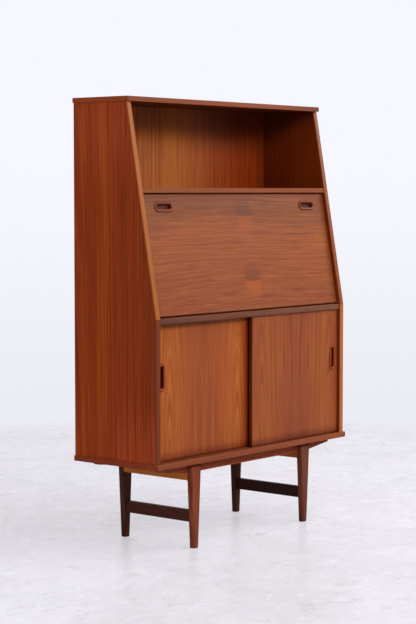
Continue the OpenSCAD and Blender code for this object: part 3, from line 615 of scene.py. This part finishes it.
def turned_knob(node, face, material):
    """A drawer's knob in the place of its CAD node: a spigot, a waisted neck and a domed head.

    The dome's point at angle t is (radius cos t, reach - dome + dome sin t).
    """
    middle, half = middle_and_half(node)
    reach = face - (middle[1] - half[1])
    middle[1] = face
    spigot_r, spigot_len, dome = 0.003, 0.008, 0.0055
    spigot = [[0, -spigot_len], [spigot_r, -spigot_len], [spigot_r, 0.0]]
    neck = [[0.0055, 0.0], [0.0052, 0.0006], [0.0041, 0.0018], [0.0037, 0.003], [0.0040, 0.0045]]
    underside = [[0.0052, 0.0058]]
    t = np.linspace(0, np.pi / 2, 14)
    head = np.stack([half[0] * np.cos(t), reach - dome + dome * np.sin(t)], -1)
    profile = np.concatenate([spigot, neck, underside, head])
    stand_for(surface(node + "_turned", turned(profile, middle, (0, -1, 0), 48)), material, node)


def fillet(corner, start, end, radius):
    """Points of a rounded corner in a profile, from the first point, towards start, to the last, towards end.

    Point = (1 - t) squared * first + 2 t (1 - t) * corner + t squared * last.
    """
    corner, start, end = (np.asarray(p, float) for p in (corner, start, end))
    first = corner + (start - corner) / np.linalg.norm(start - corner) * radius
    last = corner + (end - corner) / np.linalg.norm(end - corner) * radius
    t = np.linspace(0, 1, 6)[:, None]
    return ((1 - t) ** 2 * first + 2 * t * (1 - t) * corner + t**2 * last).tolist()


def pull_profile(half_w, depth):
    """Half section of a pull from the middle of its floor outwards.

    Its points are (distance from the middle line, height over the board): floor, hollowed finger slot, a lip
    that rolls over the slot, the crest of the rim, its outer roll and the buried body below. The lip and the
    outer roll are quarter ellipses from the crest.
    """
    s = sizes()
    floor_t, undercut, crest_out, lip_drop, rim_edge = 0.0015, 0.002, 0.0008, 0.001, 0.0003
    throat_foot, throat_top, throat_round, lip_foot = -0.0042, -0.003, 0.0008, -0.0028
    slot, rim = s.slot_w / 2, s.rim
    floor, hollow, crest = floor_t - depth, slot + undercut, (half_w + slot) / 2 + crest_out
    t = np.linspace(0, np.pi / 2, 8)
    lip = np.stack([crest - (crest - slot) * np.sin(t), rim - (rim + lip_drop) * (1 - np.cos(t))], -1)[::-1]
    outer = np.stack([crest + (half_w - crest) * np.sin(t), rim - (rim - rim_edge) * (1 - np.cos(t))], -1)[1:]
    return np.array(
        [[0, floor], [slot * 0.6, floor]]
        + fillet((hollow, floor), (0, floor), (hollow, throat_foot), min(s.rim_round, 0.0025))
        + fillet((hollow, throat_foot), (hollow, floor), (slot, throat_top), throat_round)
        + [[slot, lip_foot]]
        + lip.tolist()
        + outer.tolist()
        + [[half_w, -lip_drop], [half_w, -depth], [0, -depth]]
    )


def racetrack(profile, middle, long_way, side, out_way, straight, around):
    """Carries a half section round a racetrack: two half turns joined by straights.

    A point of the section at distance d from the middle line and height h goes to
    middle + end * long + d * (cos t * long + sin t * side) + h * out, where end is straight / 2 on the first
    half turn and -straight / 2 on the second.
    """
    turn = around // 4 * 2
    t = np.concatenate(
        [np.linspace(-np.pi / 2, np.pi / 2, turn), np.linspace(np.pi / 2, 3 * np.pi / 2, turn)]
    )
    end = np.repeat([1.0, -1.0], turn) * straight / 2
    ring = np.cos(t)[:, None] * long_way + np.sin(t)[:, None] * side
    path = middle + end[:, None] * long_way
    return path + profile[:, None, 0:1] * ring + profile[:, None, 1:2] * out_way


def recessed_pull(node, material, long_way, out_way):
    """Builds a recessed pull in the place and size of its CAD node."""
    ways = np.array([long_way, np.cross(out_way, long_way), out_way], float)
    reach = points_of(node) @ ways.T
    low, high = reach.min(0), reach.max(0)
    half_w = (high[1] - low[1]) / 2
    straight = high[0] - low[0] - 2 * half_w
    face = high[2] - sizes().rim
    middle = np.array([(low[0] + high[0]) / 2, (low[1] + high[1]) / 2, face]) @ ways
    profile = pull_profile(half_w, face - low[2])
    grid = racetrack(profile, middle, *ways, straight, sizes().steps)
    stand_for(surface(node + "_turned", grid), material, node)


def painted_slot_shade(tilt, face):
    """Painted shade for a pull whose rim stands on a plane: darker below the plane, in the pull's hollow."""

    def shade(f, wood, x, y, z):
        depth = -0.0005 - height_over(face, tilt, y, z)
        return f.stain(depth.rise(0.0, 0.003), wood, (0.30, 0.20, 0.2))

    return shade


def tapered_leg(node, material):
    """A leg in the place of its CAD node: a flat board that tapers to a narrow foot with rounded corners.

    At height h the section is a rectangle of half widths w and d with corners of radius r. w and r run
    straight from the foot's values to the top's, and d stays. Near the floor all three draw in along a
    quarter ellipse.
    The ring's point at angle t of a corner is (+-(w - r) + r cos t, +-(d - r) + r sin t).
    """
    s = sizes()
    middle, half = middle_and_half(node)
    floor, tall = middle[2] - half[2], 2 * half[2]
    quarter = s.steps // 4
    t = np.linspace(0, np.pi / 2, quarter)
    angle = np.concatenate([t + k * np.pi / 2 for k in range(4)])
    sign = np.array([[1, 1], [-1, 1], [-1, -1], [1, -1]], float).repeat(quarter, 0)
    round_h, ease = s.foot_round, s.foot_round / 2
    foot = round_h * (1 - np.cos(np.linspace(0, np.pi / 2, 7)))
    heights = np.concatenate([foot, np.linspace(0.012, tall, 12)])
    share_up = np.clip((heights - round_h) / (tall - round_h), 0, 1)
    inset = ease * (1 - np.sqrt(1 - np.clip(1 - heights / round_h, 0, 1) ** 2))
    w = s.foot_w / 2 + (half[0] - s.foot_w / 2) * share_up - inset
    d = half[1] - inset
    r = s.foot_corner + (s.top_corner - s.foot_corner) * share_up - inset
    x = (w - r)[:, None] * sign[:, 0] + r[:, None] * np.cos(angle)
    y = (d - r)[:, None] * sign[:, 1] + r[:, None] * np.sin(angle)
    z = np.broadcast_to(heights[:, None] + floor, x.shape)
    ring = np.stack([x + middle[0], y + middle[1], z], -1)
    ends = [(middle[0], middle[1], level) for level in (floor, floor + tall)]
    caps = [np.broadcast_to(end, (1, ring.shape[1], 3)) for end in ends]
    stand_for(surface(node + "_shaped", np.concatenate([caps[0], ring, caps[1]])), material, node)


# ---------------------------------------------------------------- operators


class DESK_OT_case(Operator):
    """Finishes the sides, top, shelf, deck, base and back boards."""

    bl_idname = "desk.case"
    bl_label = "Case boards"

    def execute(self, context):
        side, case, inner = colour_of("side"), colour_of("case"), colour_of("inner")
        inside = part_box("side_right")[0].x
        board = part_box("back_upper")[0].y + SKIN
        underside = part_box("top_panel")[0].z + SKIN

        def painted_top_haze(f, wood, x, y, z):
            """Painted light: the side is painted paler and bluer, as a painted sheen, at its top and near its
            front foot.
            """
            pale = z.rise(0.98, 1.22).most((0.46 - z).rise(0.0, 0.14) * (0.05 - y).rise(0.0, 0.12) * 0.8)
            return f.stain(pale, wood, (1.26, 1.36, 1.9))

        def inner_face_painted_shade(f, wood, x, y, z):
            """The inner face of the right side is painted darker than its outer one, partly as its own tone
            and partly as painted shade, and darkest under the top, where a painted shadow falls.

            The painted shadow under the top ends at a line that slants down towards the back.
            """
            slant, height_at_middle = 0.417, 1.2645
            hidden = 1 - x.rise(inside, inside + SKIN)
            # darker inner face: partly its own tone, partly painted shade
            wood = f.stain(hidden, wood, (0.52, 0.55, 0.38))
            # painted shadow of the top on the inner face, edged along the slanting line
            corner = (z + y * slant - height_at_middle).rise(-0.045, 0.015)
            return f.stain(hidden * corner, wood, (0.40, 0.40, 0.6))

        def redder_with_painted_shadow(f, wood, x, y, z):
            """The back's face is golden at its left and red-brown at its right, and carries a painted shadow
            near the top on its right.
            """
            front = 1 - y.rise(board, board + 2 * SKIN)
            wood = f.stain(x.rise(-0.02, 0.34) * front, wood, (0.90, 0.48, 0.27))
            # painted shadow under the top, deepest on the right
            return f.stain(x.rise(-0.05, 0.30) * z.rise(1.12, 1.21) * front, wood, (0.45, 0.50, 0.9))

        def painted_shade_below(f, wood, x, y, z):
            """Painted shade: the underside of the top is painted much darker than its face."""
            return f.stain(1 - z.rise(underside, underside + SKIN), wood, (0.30, 0.24, 0.22))

        left = timber(
            "side_wood_left",
            side,
            "zyx",
            1.7,
            contrast=1.3,
            ring=0.0085,
            arches=[(0.02, -0.9, 0.03, 0.02)],
            bands=[(0.05, 0.02, 0.45), (-0.13, 0.04, -0.15), (-0.06, 0.006, 0.35), (0.125, 0.008, 0.4)],
            warm=1.0,
            sheen=0.06,
            shade=painted_top_haze,
        )
        arch = (-0.03, 2.0, 0.03, 0.02)
        right = timber("side_wood_right", side, "zyx", 6.1, arches=[arch], sheen=0.06, shade=inner_face_painted_shade)
        back = timber(
            "back_wood",
            colour_of("back"),
            "zxy",
            5.4,
            contrast=1.45,
            ring=0.009,
            wander=0.006,
            bands=[(-0.022, 0.040, 0.75), (-0.25, 0.16, 0.3), (0.018, 0.003, -0.8)],
            shade=redder_with_painted_shadow,
        )
        refinish(left, "side_left")
        refinish(right, "side_right")
        refinish(timber("top_wood", case, "xyz", 3.9, sheen=0.05, shade=painted_shade_below), "top_panel")
        refinish(timber("board_wood", case, "xyz", 3.9), "niche_shelf", "deck_panel")
        # The base is painted at under half the case's colour: painted shade on its top in front of the doors.
        refinish(timber("base_wood", scaled(case, 0.45), "xyz", 1.9, sheen=0.05), "base_panel")
        refinish(timber("bed_wood", inner, "xyz", 9.2), "writing_bed")
        refinish(back, "back_upper", "back_lower")
        eased(timber("shelf_wood", inner, "xyz", 2.6), "cabinet_shelf")
        eased(timber("stop_wood", case, "xyz", 8.8), "leaf_stop")
        return {"FINISHED"}


class DESK_OT_lippings(Operator):
    """Finishes the solid edges of the case."""

    bl_idname = "desk.lippings"
    bl_label = "Lippings"

    def execute(self, context):
        edge = colour_of("edge")
        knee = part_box("deck_panel")[1].z

        def below_knee(z):
            """1 below the top of the deck and 0 above it."""
            return 1 - z.rise(knee - 0.002, knee + 0.001)

        def ends_of(node, x, y):
            """Two shares: 1 on a lipping's end faces, and 1 on the fronts of the strips that end it."""
            strip_w, deep, soft = 0.008, 0.0015, 0.0003
            end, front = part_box(node)[1].x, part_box(node)[0].y + deep
            faces = abs(x).rise(end - 0.0006, end - 0.0002)
            strips = abs(x).rise(end - strip_w - soft, end - strip_w + soft)
            return faces, strips * (1 - y.rise(front - soft, front + soft))

        def left_tones(f, wood, x, y, z):
            """Pale orange above the knee, grey-brown below it."""
            wood = f.mix(0.75, wood, scaled(edge, 1.56, 0.95, 0.44))
            return f.mix(below_knee(z) * 0.9, wood, scaled(edge, 0.43, 1.30, 0.98))

        def right_tones(f, wood, x, y, z):
            """Red-brown above the knee, bright orange below it."""
            return f.mix(below_knee(z) * 0.8, wood, scaled(edge, 1.95, 0.90, 0.72))

        def top_ends(f, wood, x, y, z):
            """The top lipping is darker towards its right end, and its end faces are painted lighter: painted
            light. The end strips run through to the front, so their dark end grain shows at the two corners.
            """
            faces, fronts = ends_of("top_lipping", x, y)
            wood = f.stain(x.rise(0.25, 0.42), wood, (0.74, 0.66, 0.70))
            # painted light on the end faces
            wood = f.stain(faces, wood, (1.57, 1.26, 1.1))
            return f.mix(fronts * 0.8, wood, scaled(edge, 0.35))

        def base_ends(f, wood, x, y, z):
            """The same at the base, with darker end faces."""
            faces, fronts = ends_of("base_lipping", x, y)
            wood = f.stain(faces, wood, (1.05, 0.66, 0.52))
            return f.mix(fronts * 0.6, wood, scaled(edge, 0.45))

        def worn(f, wood, x, y, z):
            """The deck's edge is darkest at its left end."""
            return f.stain(1 - x.rise(-0.45, -0.15), wood, (0.68, 0.64, 0.70))

        for node, name, push, grain, seed, contrast, sheen, shade in (
            ("side_lipping_left", "left_edge_wood", (1.0, 1.0, 1.0), "zyx", 2.2, 1.0, 0.08, left_tones),
            ("side_lipping_right", "right_edge_wood", (0.74, 1.15, 0.8), "zyx", 7.5, 0.8, 0.12, right_tones),
            ("top_lipping", "top_edge_wood", (0.69, 1.18, 0.78), "xyz", 4.1, 0.8, 0.12, top_ends),
            ("base_lipping", "base_edge_wood", (0.80, 1.12, 0.92), "xyz", 5.8, 0.8, 0.12, base_ends),
            ("niche_shelf_lipping", "shelf_edge_wood", (0.65, 1.18, 0.62), "xyz", 3.3, 0.8, 0.06, None),
            # the deck lipping's grey, bluish push is a painted reflection of the pale room
            ("deck_lipping", "deck_edge_wood", (0.70, 0.80, 1.36), "xyz", 6.6, 1.4, 0.12, worn),
        ):
            eased(timber(name, scaled(edge, *push), grain, seed, contrast, sheen=sheen, shade=shade), node)
        return {"FINISHED"}


class DESK_OT_leaf(Operator):
    """Finishes the leaf, its lipping and its two pulls."""

    bl_idname = "desk.leaf"
    bl_label = "Leaf"

    def execute(self, context):
        lean_back = 10.0987  # degrees from upright when shut
        tilt = math.radians(lean_back)
        out_way = (0.0, -math.cos(tilt), math.sin(tilt))
        face = (points_of("leaf_panel") @ out_way).max()
        refinish(crown_leaf("leaf_wood", colour_of("leaf"), tilt, face), "leaf_panel")
        lipping = timber("leaf_edge_wood", colour_of("leaf"), "xzy", 5.1, contrast=0.7)
        eased(lipping, "leaf_lipping", ease=0.0006)
        pull = timber("leaf_pull_wood", colour_of("pull"), "xzy", 3.6, sheen=0.1, shade=painted_slot_shade(tilt, face))
        for node in both("leaf_pull"):
            recessed_pull(node, pull, (1, 0, 0), out_way)
        return {"FINISHED"}


class DESK_OT_doors(Operator):
    """Finishes the sliding doors and their pulls."""

    bl_idname = "desk.doors"
    bl_label = "Sliding doors"

    def execute(self, context):
        door, pull = colour_of("door"), scaled(colour_of("pull"), 1.3, 1.1, 0.7)
        groove = 0.004  # depth of the base's grooves, where the doors' tongues stand
        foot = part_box("door_left")[0].z + groove
        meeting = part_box("door_right")[0].x

        def foot_shade_and_seam(f, wood, x, z, node):
            """The door carries painted shade towards its foot, where it meets the base, darkest in its last
            few millimetres; the seam round its pull is dark.
            """
            middle, half = middle_and_half(node)
            around = seam(z, x, (middle[2], middle[0]), (half[2], half[0]))
            wood = f.stain(around * 0.8, wood, (0.35, 0.22, 0.20))
            # painted shade towards the foot
            wood = f.stain((foot + 0.034 - z).rise(0.0, 0.034), wood, (0.62, 0.48, 0.48))
            return f.stain((foot + 0.006 - z).rise(0.0, 0.004), wood, (0.55, 0.40, 0.35))

        def left_door_painted_shadow(f, wood, x, y, z):
            """The left door carries a painted shadow where the right door stands in front of it, black in the
            gap between them, and painted shade along its foot.
            """
            # painted shadow of the right door, then black painted shade in the gap
            wood = f.stain(x.rise(meeting - 0.046, meeting), wood, (0.62, 0.32, 0.24))
            wood = f.stain(x.rise(meeting - 0.002, meeting + 0.004), wood, (0.20, 0.18, 0.2))
            return foot_shade_and_seam(f, wood, x, z, "door_pull_left")

        def right_door_painted_shade(f, wood, x, y, z):
            """The right door carries painted shade along its foot and on its left edge face."""
            # painted shade on the left edge face
            wood = f.stain(1 - x.rise(meeting + 0.0004, meeting + 0.001), wood, (0.52, 0.34, 0.22))
            return foot_shade_and_seam(f, wood, x, z, "door_pull_right")

        left = timber(
            "left_door_wood",
            door,
            "zxy",
            2.9,
            contrast=1.35,
            ring=0.0042,
            mirror=-0.208,
            arches=[(0.112, 0.215, 0.075, 0.0)],
            bands=[(0.145, 0.05, 0.45), (0.0, 0.07, -0.15)],
            shade=left_door_painted_shadow,
        )
        right = timber(
            "right_door_wood",
            scaled(door, 0.88, 0.97, 1.22),
            "zxy",
            7.7,
            contrast=1.35,
            ring=0.0042,
            mirror=0.217,
            arches=[(0.125, 0.19, 0.07, 0.0)],
            bands=[(0.135, 0.035, 0.45), (0.02, 0.05, -0.32)],
            shade=right_door_painted_shade,
        )
        eased(left, "door_left")
        eased(right, "door_right")
        for which in ("left", "right"):
            # painted shade in the pull's hollow
            slot = painted_slot_shade(0.0, -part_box("door_" + which)[0].y)
            wood = timber("door_pull_wood_" + which, pull, "zxy", 1.4, sheen=0.08, shade=slot)
            recessed_pull("door_pull_" + which, wood, (0, 0, 1), (0, -1, 0))
        return {"FINISHED"}


class DESK_OT_pigeonholes(Operator):
    """Finishes the pigeonholes, the little drawers and their knobs."""

    bl_idname = "desk.pigeonholes"
    bl_label = "Pigeonholes and drawers"

    def execute(self, context):
        inner = colour_of("inner")
        shelves = timber("pigeon_wood", inner, "xyz", 4.7, contrast=0.8)
        dividers = timber("divider_wood", inner, "yzx", 5.7, contrast=0.8)
        fronts = timber("drawer_front_wood", scaled(inner, 0.92, 1.0, 0.8), "xzy", 6.7)
        boxes = timber("drawer_box_wood", colour_of("beech"), "yxz", 7.7, contrast=0.35, warm=0.2)
        knobs = timber("knob_wood", colour_of("pull"), "yxz", 8.7, contrast=0.8, sheen=0.2)
        eased(shelves, "pigeonhole_floor", "pigeonhole_shelves")
        eased(dividers, "pigeonhole_dividers")
        eased(fronts, *both("drawer_front"))
        eased(boxes, *both("drawer_box"))
        for knob, front in zip(both("drawer_knob"), both("drawer_front")):
            turned_knob(knob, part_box(front)[0].y, knobs)
        return {"FINISHED"}


class DESK_OT_frame(Operator):
    """Shapes the legs and finishes the rails and stretchers."""

    bl_idname = "desk.frame"
    bl_label = "Leg frame"

    def execute(self, context):
        leg, oak, stretcher = colour_of("leg"), colour_of("oak"), colour_of("stretcher")
        rail_ease, stretcher_ease = 0.0008, 0.001
        close_grain = {"contrast": 1.4, "ring": 0.005, "sheen": 0.06}

        def darker_foot(f, wood, x, y, z):
            """The leg is darker near the floor."""
            return f.stain(1 - z.rise(0.02, 0.16), wood, (0.84, 0.80, 0.85))

        # Each leg has its own colour; the rear legs' much darker colours are painted shade, as they stand
        # back under the desk.
        for which, seed, push in (
            ("front_left", 2.4, (1.06, 0.96, 1.05)),
            ("front_right", 2.9, (0.97, 0.80, 1.25)),
            ("rear_left", 3.4, (0.52, 0.74, 1.40)),
            ("rear_right", 3.9, (0.50, 0.74, 1.25)),
        ):
            brown = scaled(leg, *push)
            wood = timber("leg_wood_" + which, brown, "zxy", seed, shade=darker_foot, **close_grain)
            tapered_leg("leg_" + which, wood)
        rails = timber("rail_wood", scaled(leg, 1.35, 1.15, 0.95), "xzy", 4.4, **close_grain)
        eased(rails, "front_rail", "rear_rail", ease=rail_ease)
        cross_rails = timber("cross_rail_wood", scaled(oak, 1.25), "yzx", 5.5, contrast=0.8, warm=0.3)
        eased(cross_rails, *both("cross_rail"), ease=rail_ease)
        # The right stretcher is painted at under half the left one's colour: painted shade under the desk.
        for which, depth in (("left", 1.0), ("right", 0.42)):
            brown = scaled(stretcher, depth)
            wood = timber("stretcher_wood_" + which, brown, "yzx", 6.5, contrast=0.8, warm=0.1, sheen=0.1)
            eased(wood, "stretcher_" + which, ease=stretcher_ease)
        return {"FINISHED"}


class DESK_OT_fittings(Operator):
    """Finishes the stays, plates, bushes, pins, dowels and screws."""

    bl_idname = "desk.fittings"
    bl_label = "Fittings"

    def execute(self, context):
        brass = brushed("brass", colour_of("brass"), 1.0)
        steel = brushed("steel", colour_of("steel"), 2.0, 0.4)
        stays = (*both("stay_arm"), *both("stay_block"), "stay_plates", "stay_brackets")
        eased(brass, *stays, ease=sizes().metal_ease)
        refinish(brass, "leaf_bushes", "pivot_pins", "shelf_pins")
        refinish(steel, "back_screws", "frame_screws")
        refinish(timber("dowel_wood", colour_of("beech"), "xyz", 3.1, contrast=0.35), "case_dowels")
        return {"FINISHED"}


class DESK_OT_stage(Operator):
    """Builds the floor, the lights, the white room and the camera."""

    bl_idname = "desk.stage"
    bl_label = "Studio"

    def execute(self, context):
        s = context.scene.desk_studio
        self.floor(s)
        self.lights(s)
        self.room(context.scene, s)
        self.camera(context.scene, s)
        return {"FINISHED"}

    def floor(self, s):
        """A flat disc whose rim fades away, just under the feet.

        The point of ring r on the spoke at angle t is (r cos t, r sin t, -drop).
        """
        rings, spokes, drop, margin = 24, 96, 0.0005, 0.25
        r = np.linspace(0, 1, rings)[:, None] * (s.floor_radius + margin)
        t = np.linspace(0, 2 * np.pi, spokes, endpoint=False)
        grid = np.stack([r * np.cos(t), r * np.sin(t), np.full((rings, spokes), -drop)], -1)
        f = new_finish("pale_floor")
        x, y, z = f.place()
        cloud = f.cloud(x * 3.0, y * 3.0, z, 5.0, 0.6)
        scuffs = f.cloud(x * 14 + y * 5, y * 30 - x * 11, z, 4.0, 0.65)
        specks = f.cloud(x * 90, y * 90, z, 2.0).rise(0.20, 0.30)
        paint = tuple(s.floor_tone)
        level = (0.5 + cloud * 1.2 + scuffs * 0.9).rise(0.1, 0.9)
        tint = f.mix(level, scaled(paint, 0.90), scaled(paint, 1.04))
        tint = f.mix(specks * 0.25, tint, scaled(paint, 0.75))
        for size, factor, seed in ((4.5, 0.80, 1.0), (9.0, 0.84, 4.0), (7.0, 1.12, 8.0)):
            crack = 1 - abs(f.cloud(x * size + seed, y * size * 1.4, z, 5.0, 0.7)).rise(0.0, 0.03)
            broken = f.cloud(x * size * 2, y * size * 2 + seed, z, 2.0).rise(0.0, 0.15)
            tint = f.mix(crack * broken, tint, scaled(paint, factor))
        seen = f.node("LightPath", output="Is Camera Ray")
        bounced = f.mix(seen, scaled(paint, 0.55), tint)
        painted = {"Base Color": bounced, "Roughness": 0.28, "Specular IOR Level": 0.25}
        lit = f.node("BsdfPrincipled", None, painted)
        glow = f.node("Emission", None, {"Color": f.mix(0.3, tint, paint), "Strength": 1.0})
        rim = (x * x + y * y).root().rise(s.floor_radius - 0.1, s.floor_radius + 0.24)
        shown = f.blend(seen * s.floor_glow, lit, glow)
        floor = surface("floor", grid)
        floor.data.materials.append(f.end(f.blend(rim, shown, f.node("BsdfTransparent"))))

    def lights(self, s):
        """Soft boxes aimed at the desk: power, width and height, then azimuth, elevation and distance."""
        aim = np.array([0.0, 0.0, 0.75])
        for name, watts, wide, tall, azimuth, elevation, far in (
            ("key", s.key, 5.6, 0.55, 23, 29, 4.2),
            ("right", s.right, 1.8, 0.6, 66, 24, 4.2),
            ("left", s.left, 1.4, 0.5, -38, 18, 4.4),
            ("overhead", s.top, 3.0, 3.0, 10, 80, 3.4),
            ("fill", s.fill, 2.8, 1.8, -78, 3, 4.5),
            ("rear", s.rear, 2.5, 2.0, 165, 25, 4.5),
        ):
            light = bpy.data.lights.new(name, "AREA")
            light.shape, light.size, light.size_y, light.energy = "RECTANGLE", wide, tall, watts
            lamp = put(name, light)
            a, e = math.radians(azimuth), math.radians(elevation)
            way = np.array([math.sin(a) * math.cos(e), -math.cos(a) * math.cos(e), math.sin(e)])
            lamp.location = aim + far * way
            lamp.rotation_euler = (math.radians(90 - elevation), 0, a)

    def room(self, scene, s):
        """An even white room, seen by the camera and in reflections as the background's white."""
        scene.world = bpy.data.worlds.new("white_room")
        f = Finish(scene.world)
        camera, through, mirrored = (
            f.node("LightPath", output=f"Is {ray} Ray") for ray in ("Camera", "Transmission", "Glossy")
        )
        height = f.node("SeparateXYZ", None, {0: f.node("TexCoord", output="Generated")}, "Z")
        glow = f.mix(height.rise(-0.1, 0.5), (0.45, 0.45, 0.45), (1.5, 1.5, 1.5))
        even = f.node("Background", None, {"Color": glow, "Strength": s.room})
        wall = f.mix(height.rise(-0.14, 0.02), scaled(tuple(s.white), 0.90), tuple(s.white))
        white = f.node("Background", None, {"Color": wall, "Strength": 1.0})
        f.end(f.blend(camera.most(through).most(mirrored), even, white), "OutputWorld")

    def camera(self, scene, s):
        """The camera stands to the left front, below the top of the desk, and looks slightly down."""
        place, look_down, turn_right = (-4.1471, -3.3716, 1.0358), 3.960, 50.627
        camera = bpy.data.cameras.new("camera")
        camera.lens, camera.sensor_width, camera.clip_end = s.lens, 36, 50
        stand = put("camera", camera)
        stand.location = place
        stand.rotation_euler = (math.radians(90 - look_down), 0, math.radians(-turn_right))
        scene.camera = stand
        scene.view_settings.view_transform = "Standard"


class DESK_PT_panel(Panel):
    """Lists the settings and the steps."""

    bl_idname = "DESK_PT_panel"
    bl_label = "Fall-front desk"
    bl_space_type = "VIEW_3D"
    bl_region_type = "UI"
    bl_category = "Desk"

    def draw(self, context):
        for group in (context.scene.desk_tones, context.scene.desk_sizes, context.scene.desk_studio):
            box = self.layout.box()
            for name in group.__annotations__:
                box.prop(group, name)
        for operator in OPERATORS:
            self.layout.operator(operator.bl_idname)


GROUPS = {"desk_tones": DeskTones, "desk_sizes": DeskSizes, "desk_studio": DeskStudio}
OPERATORS = (
    DESK_OT_case,
    DESK_OT_lippings,
    DESK_OT_leaf,
    DESK_OT_doors,
    DESK_OT_pigeonholes,
    DESK_OT_frame,
    DESK_OT_fittings,
    DESK_OT_stage,
)


def register():
    for name, group in GROUPS.items():
        bpy.utils.register_class(group)
        setattr(bpy.types.Scene, name, PointerProperty(type=group))
    for cls in (*OPERATORS, DESK_PT_panel):
        bpy.utils.register_class(cls)


def unregister():
    for cls in (DESK_PT_panel, *reversed(OPERATORS)):
        bpy.utils.unregister_class(cls)
    for name, group in reversed(GROUPS.items()):
        delattr(bpy.types.Scene, name)
        bpy.utils.unregister_class(group)


def main():
    register()
    for operator in OPERATORS:
        getattr(bpy.ops.desk, operator.bl_idname.split(".")[1])()


if __name__ == "__main__":
    main()
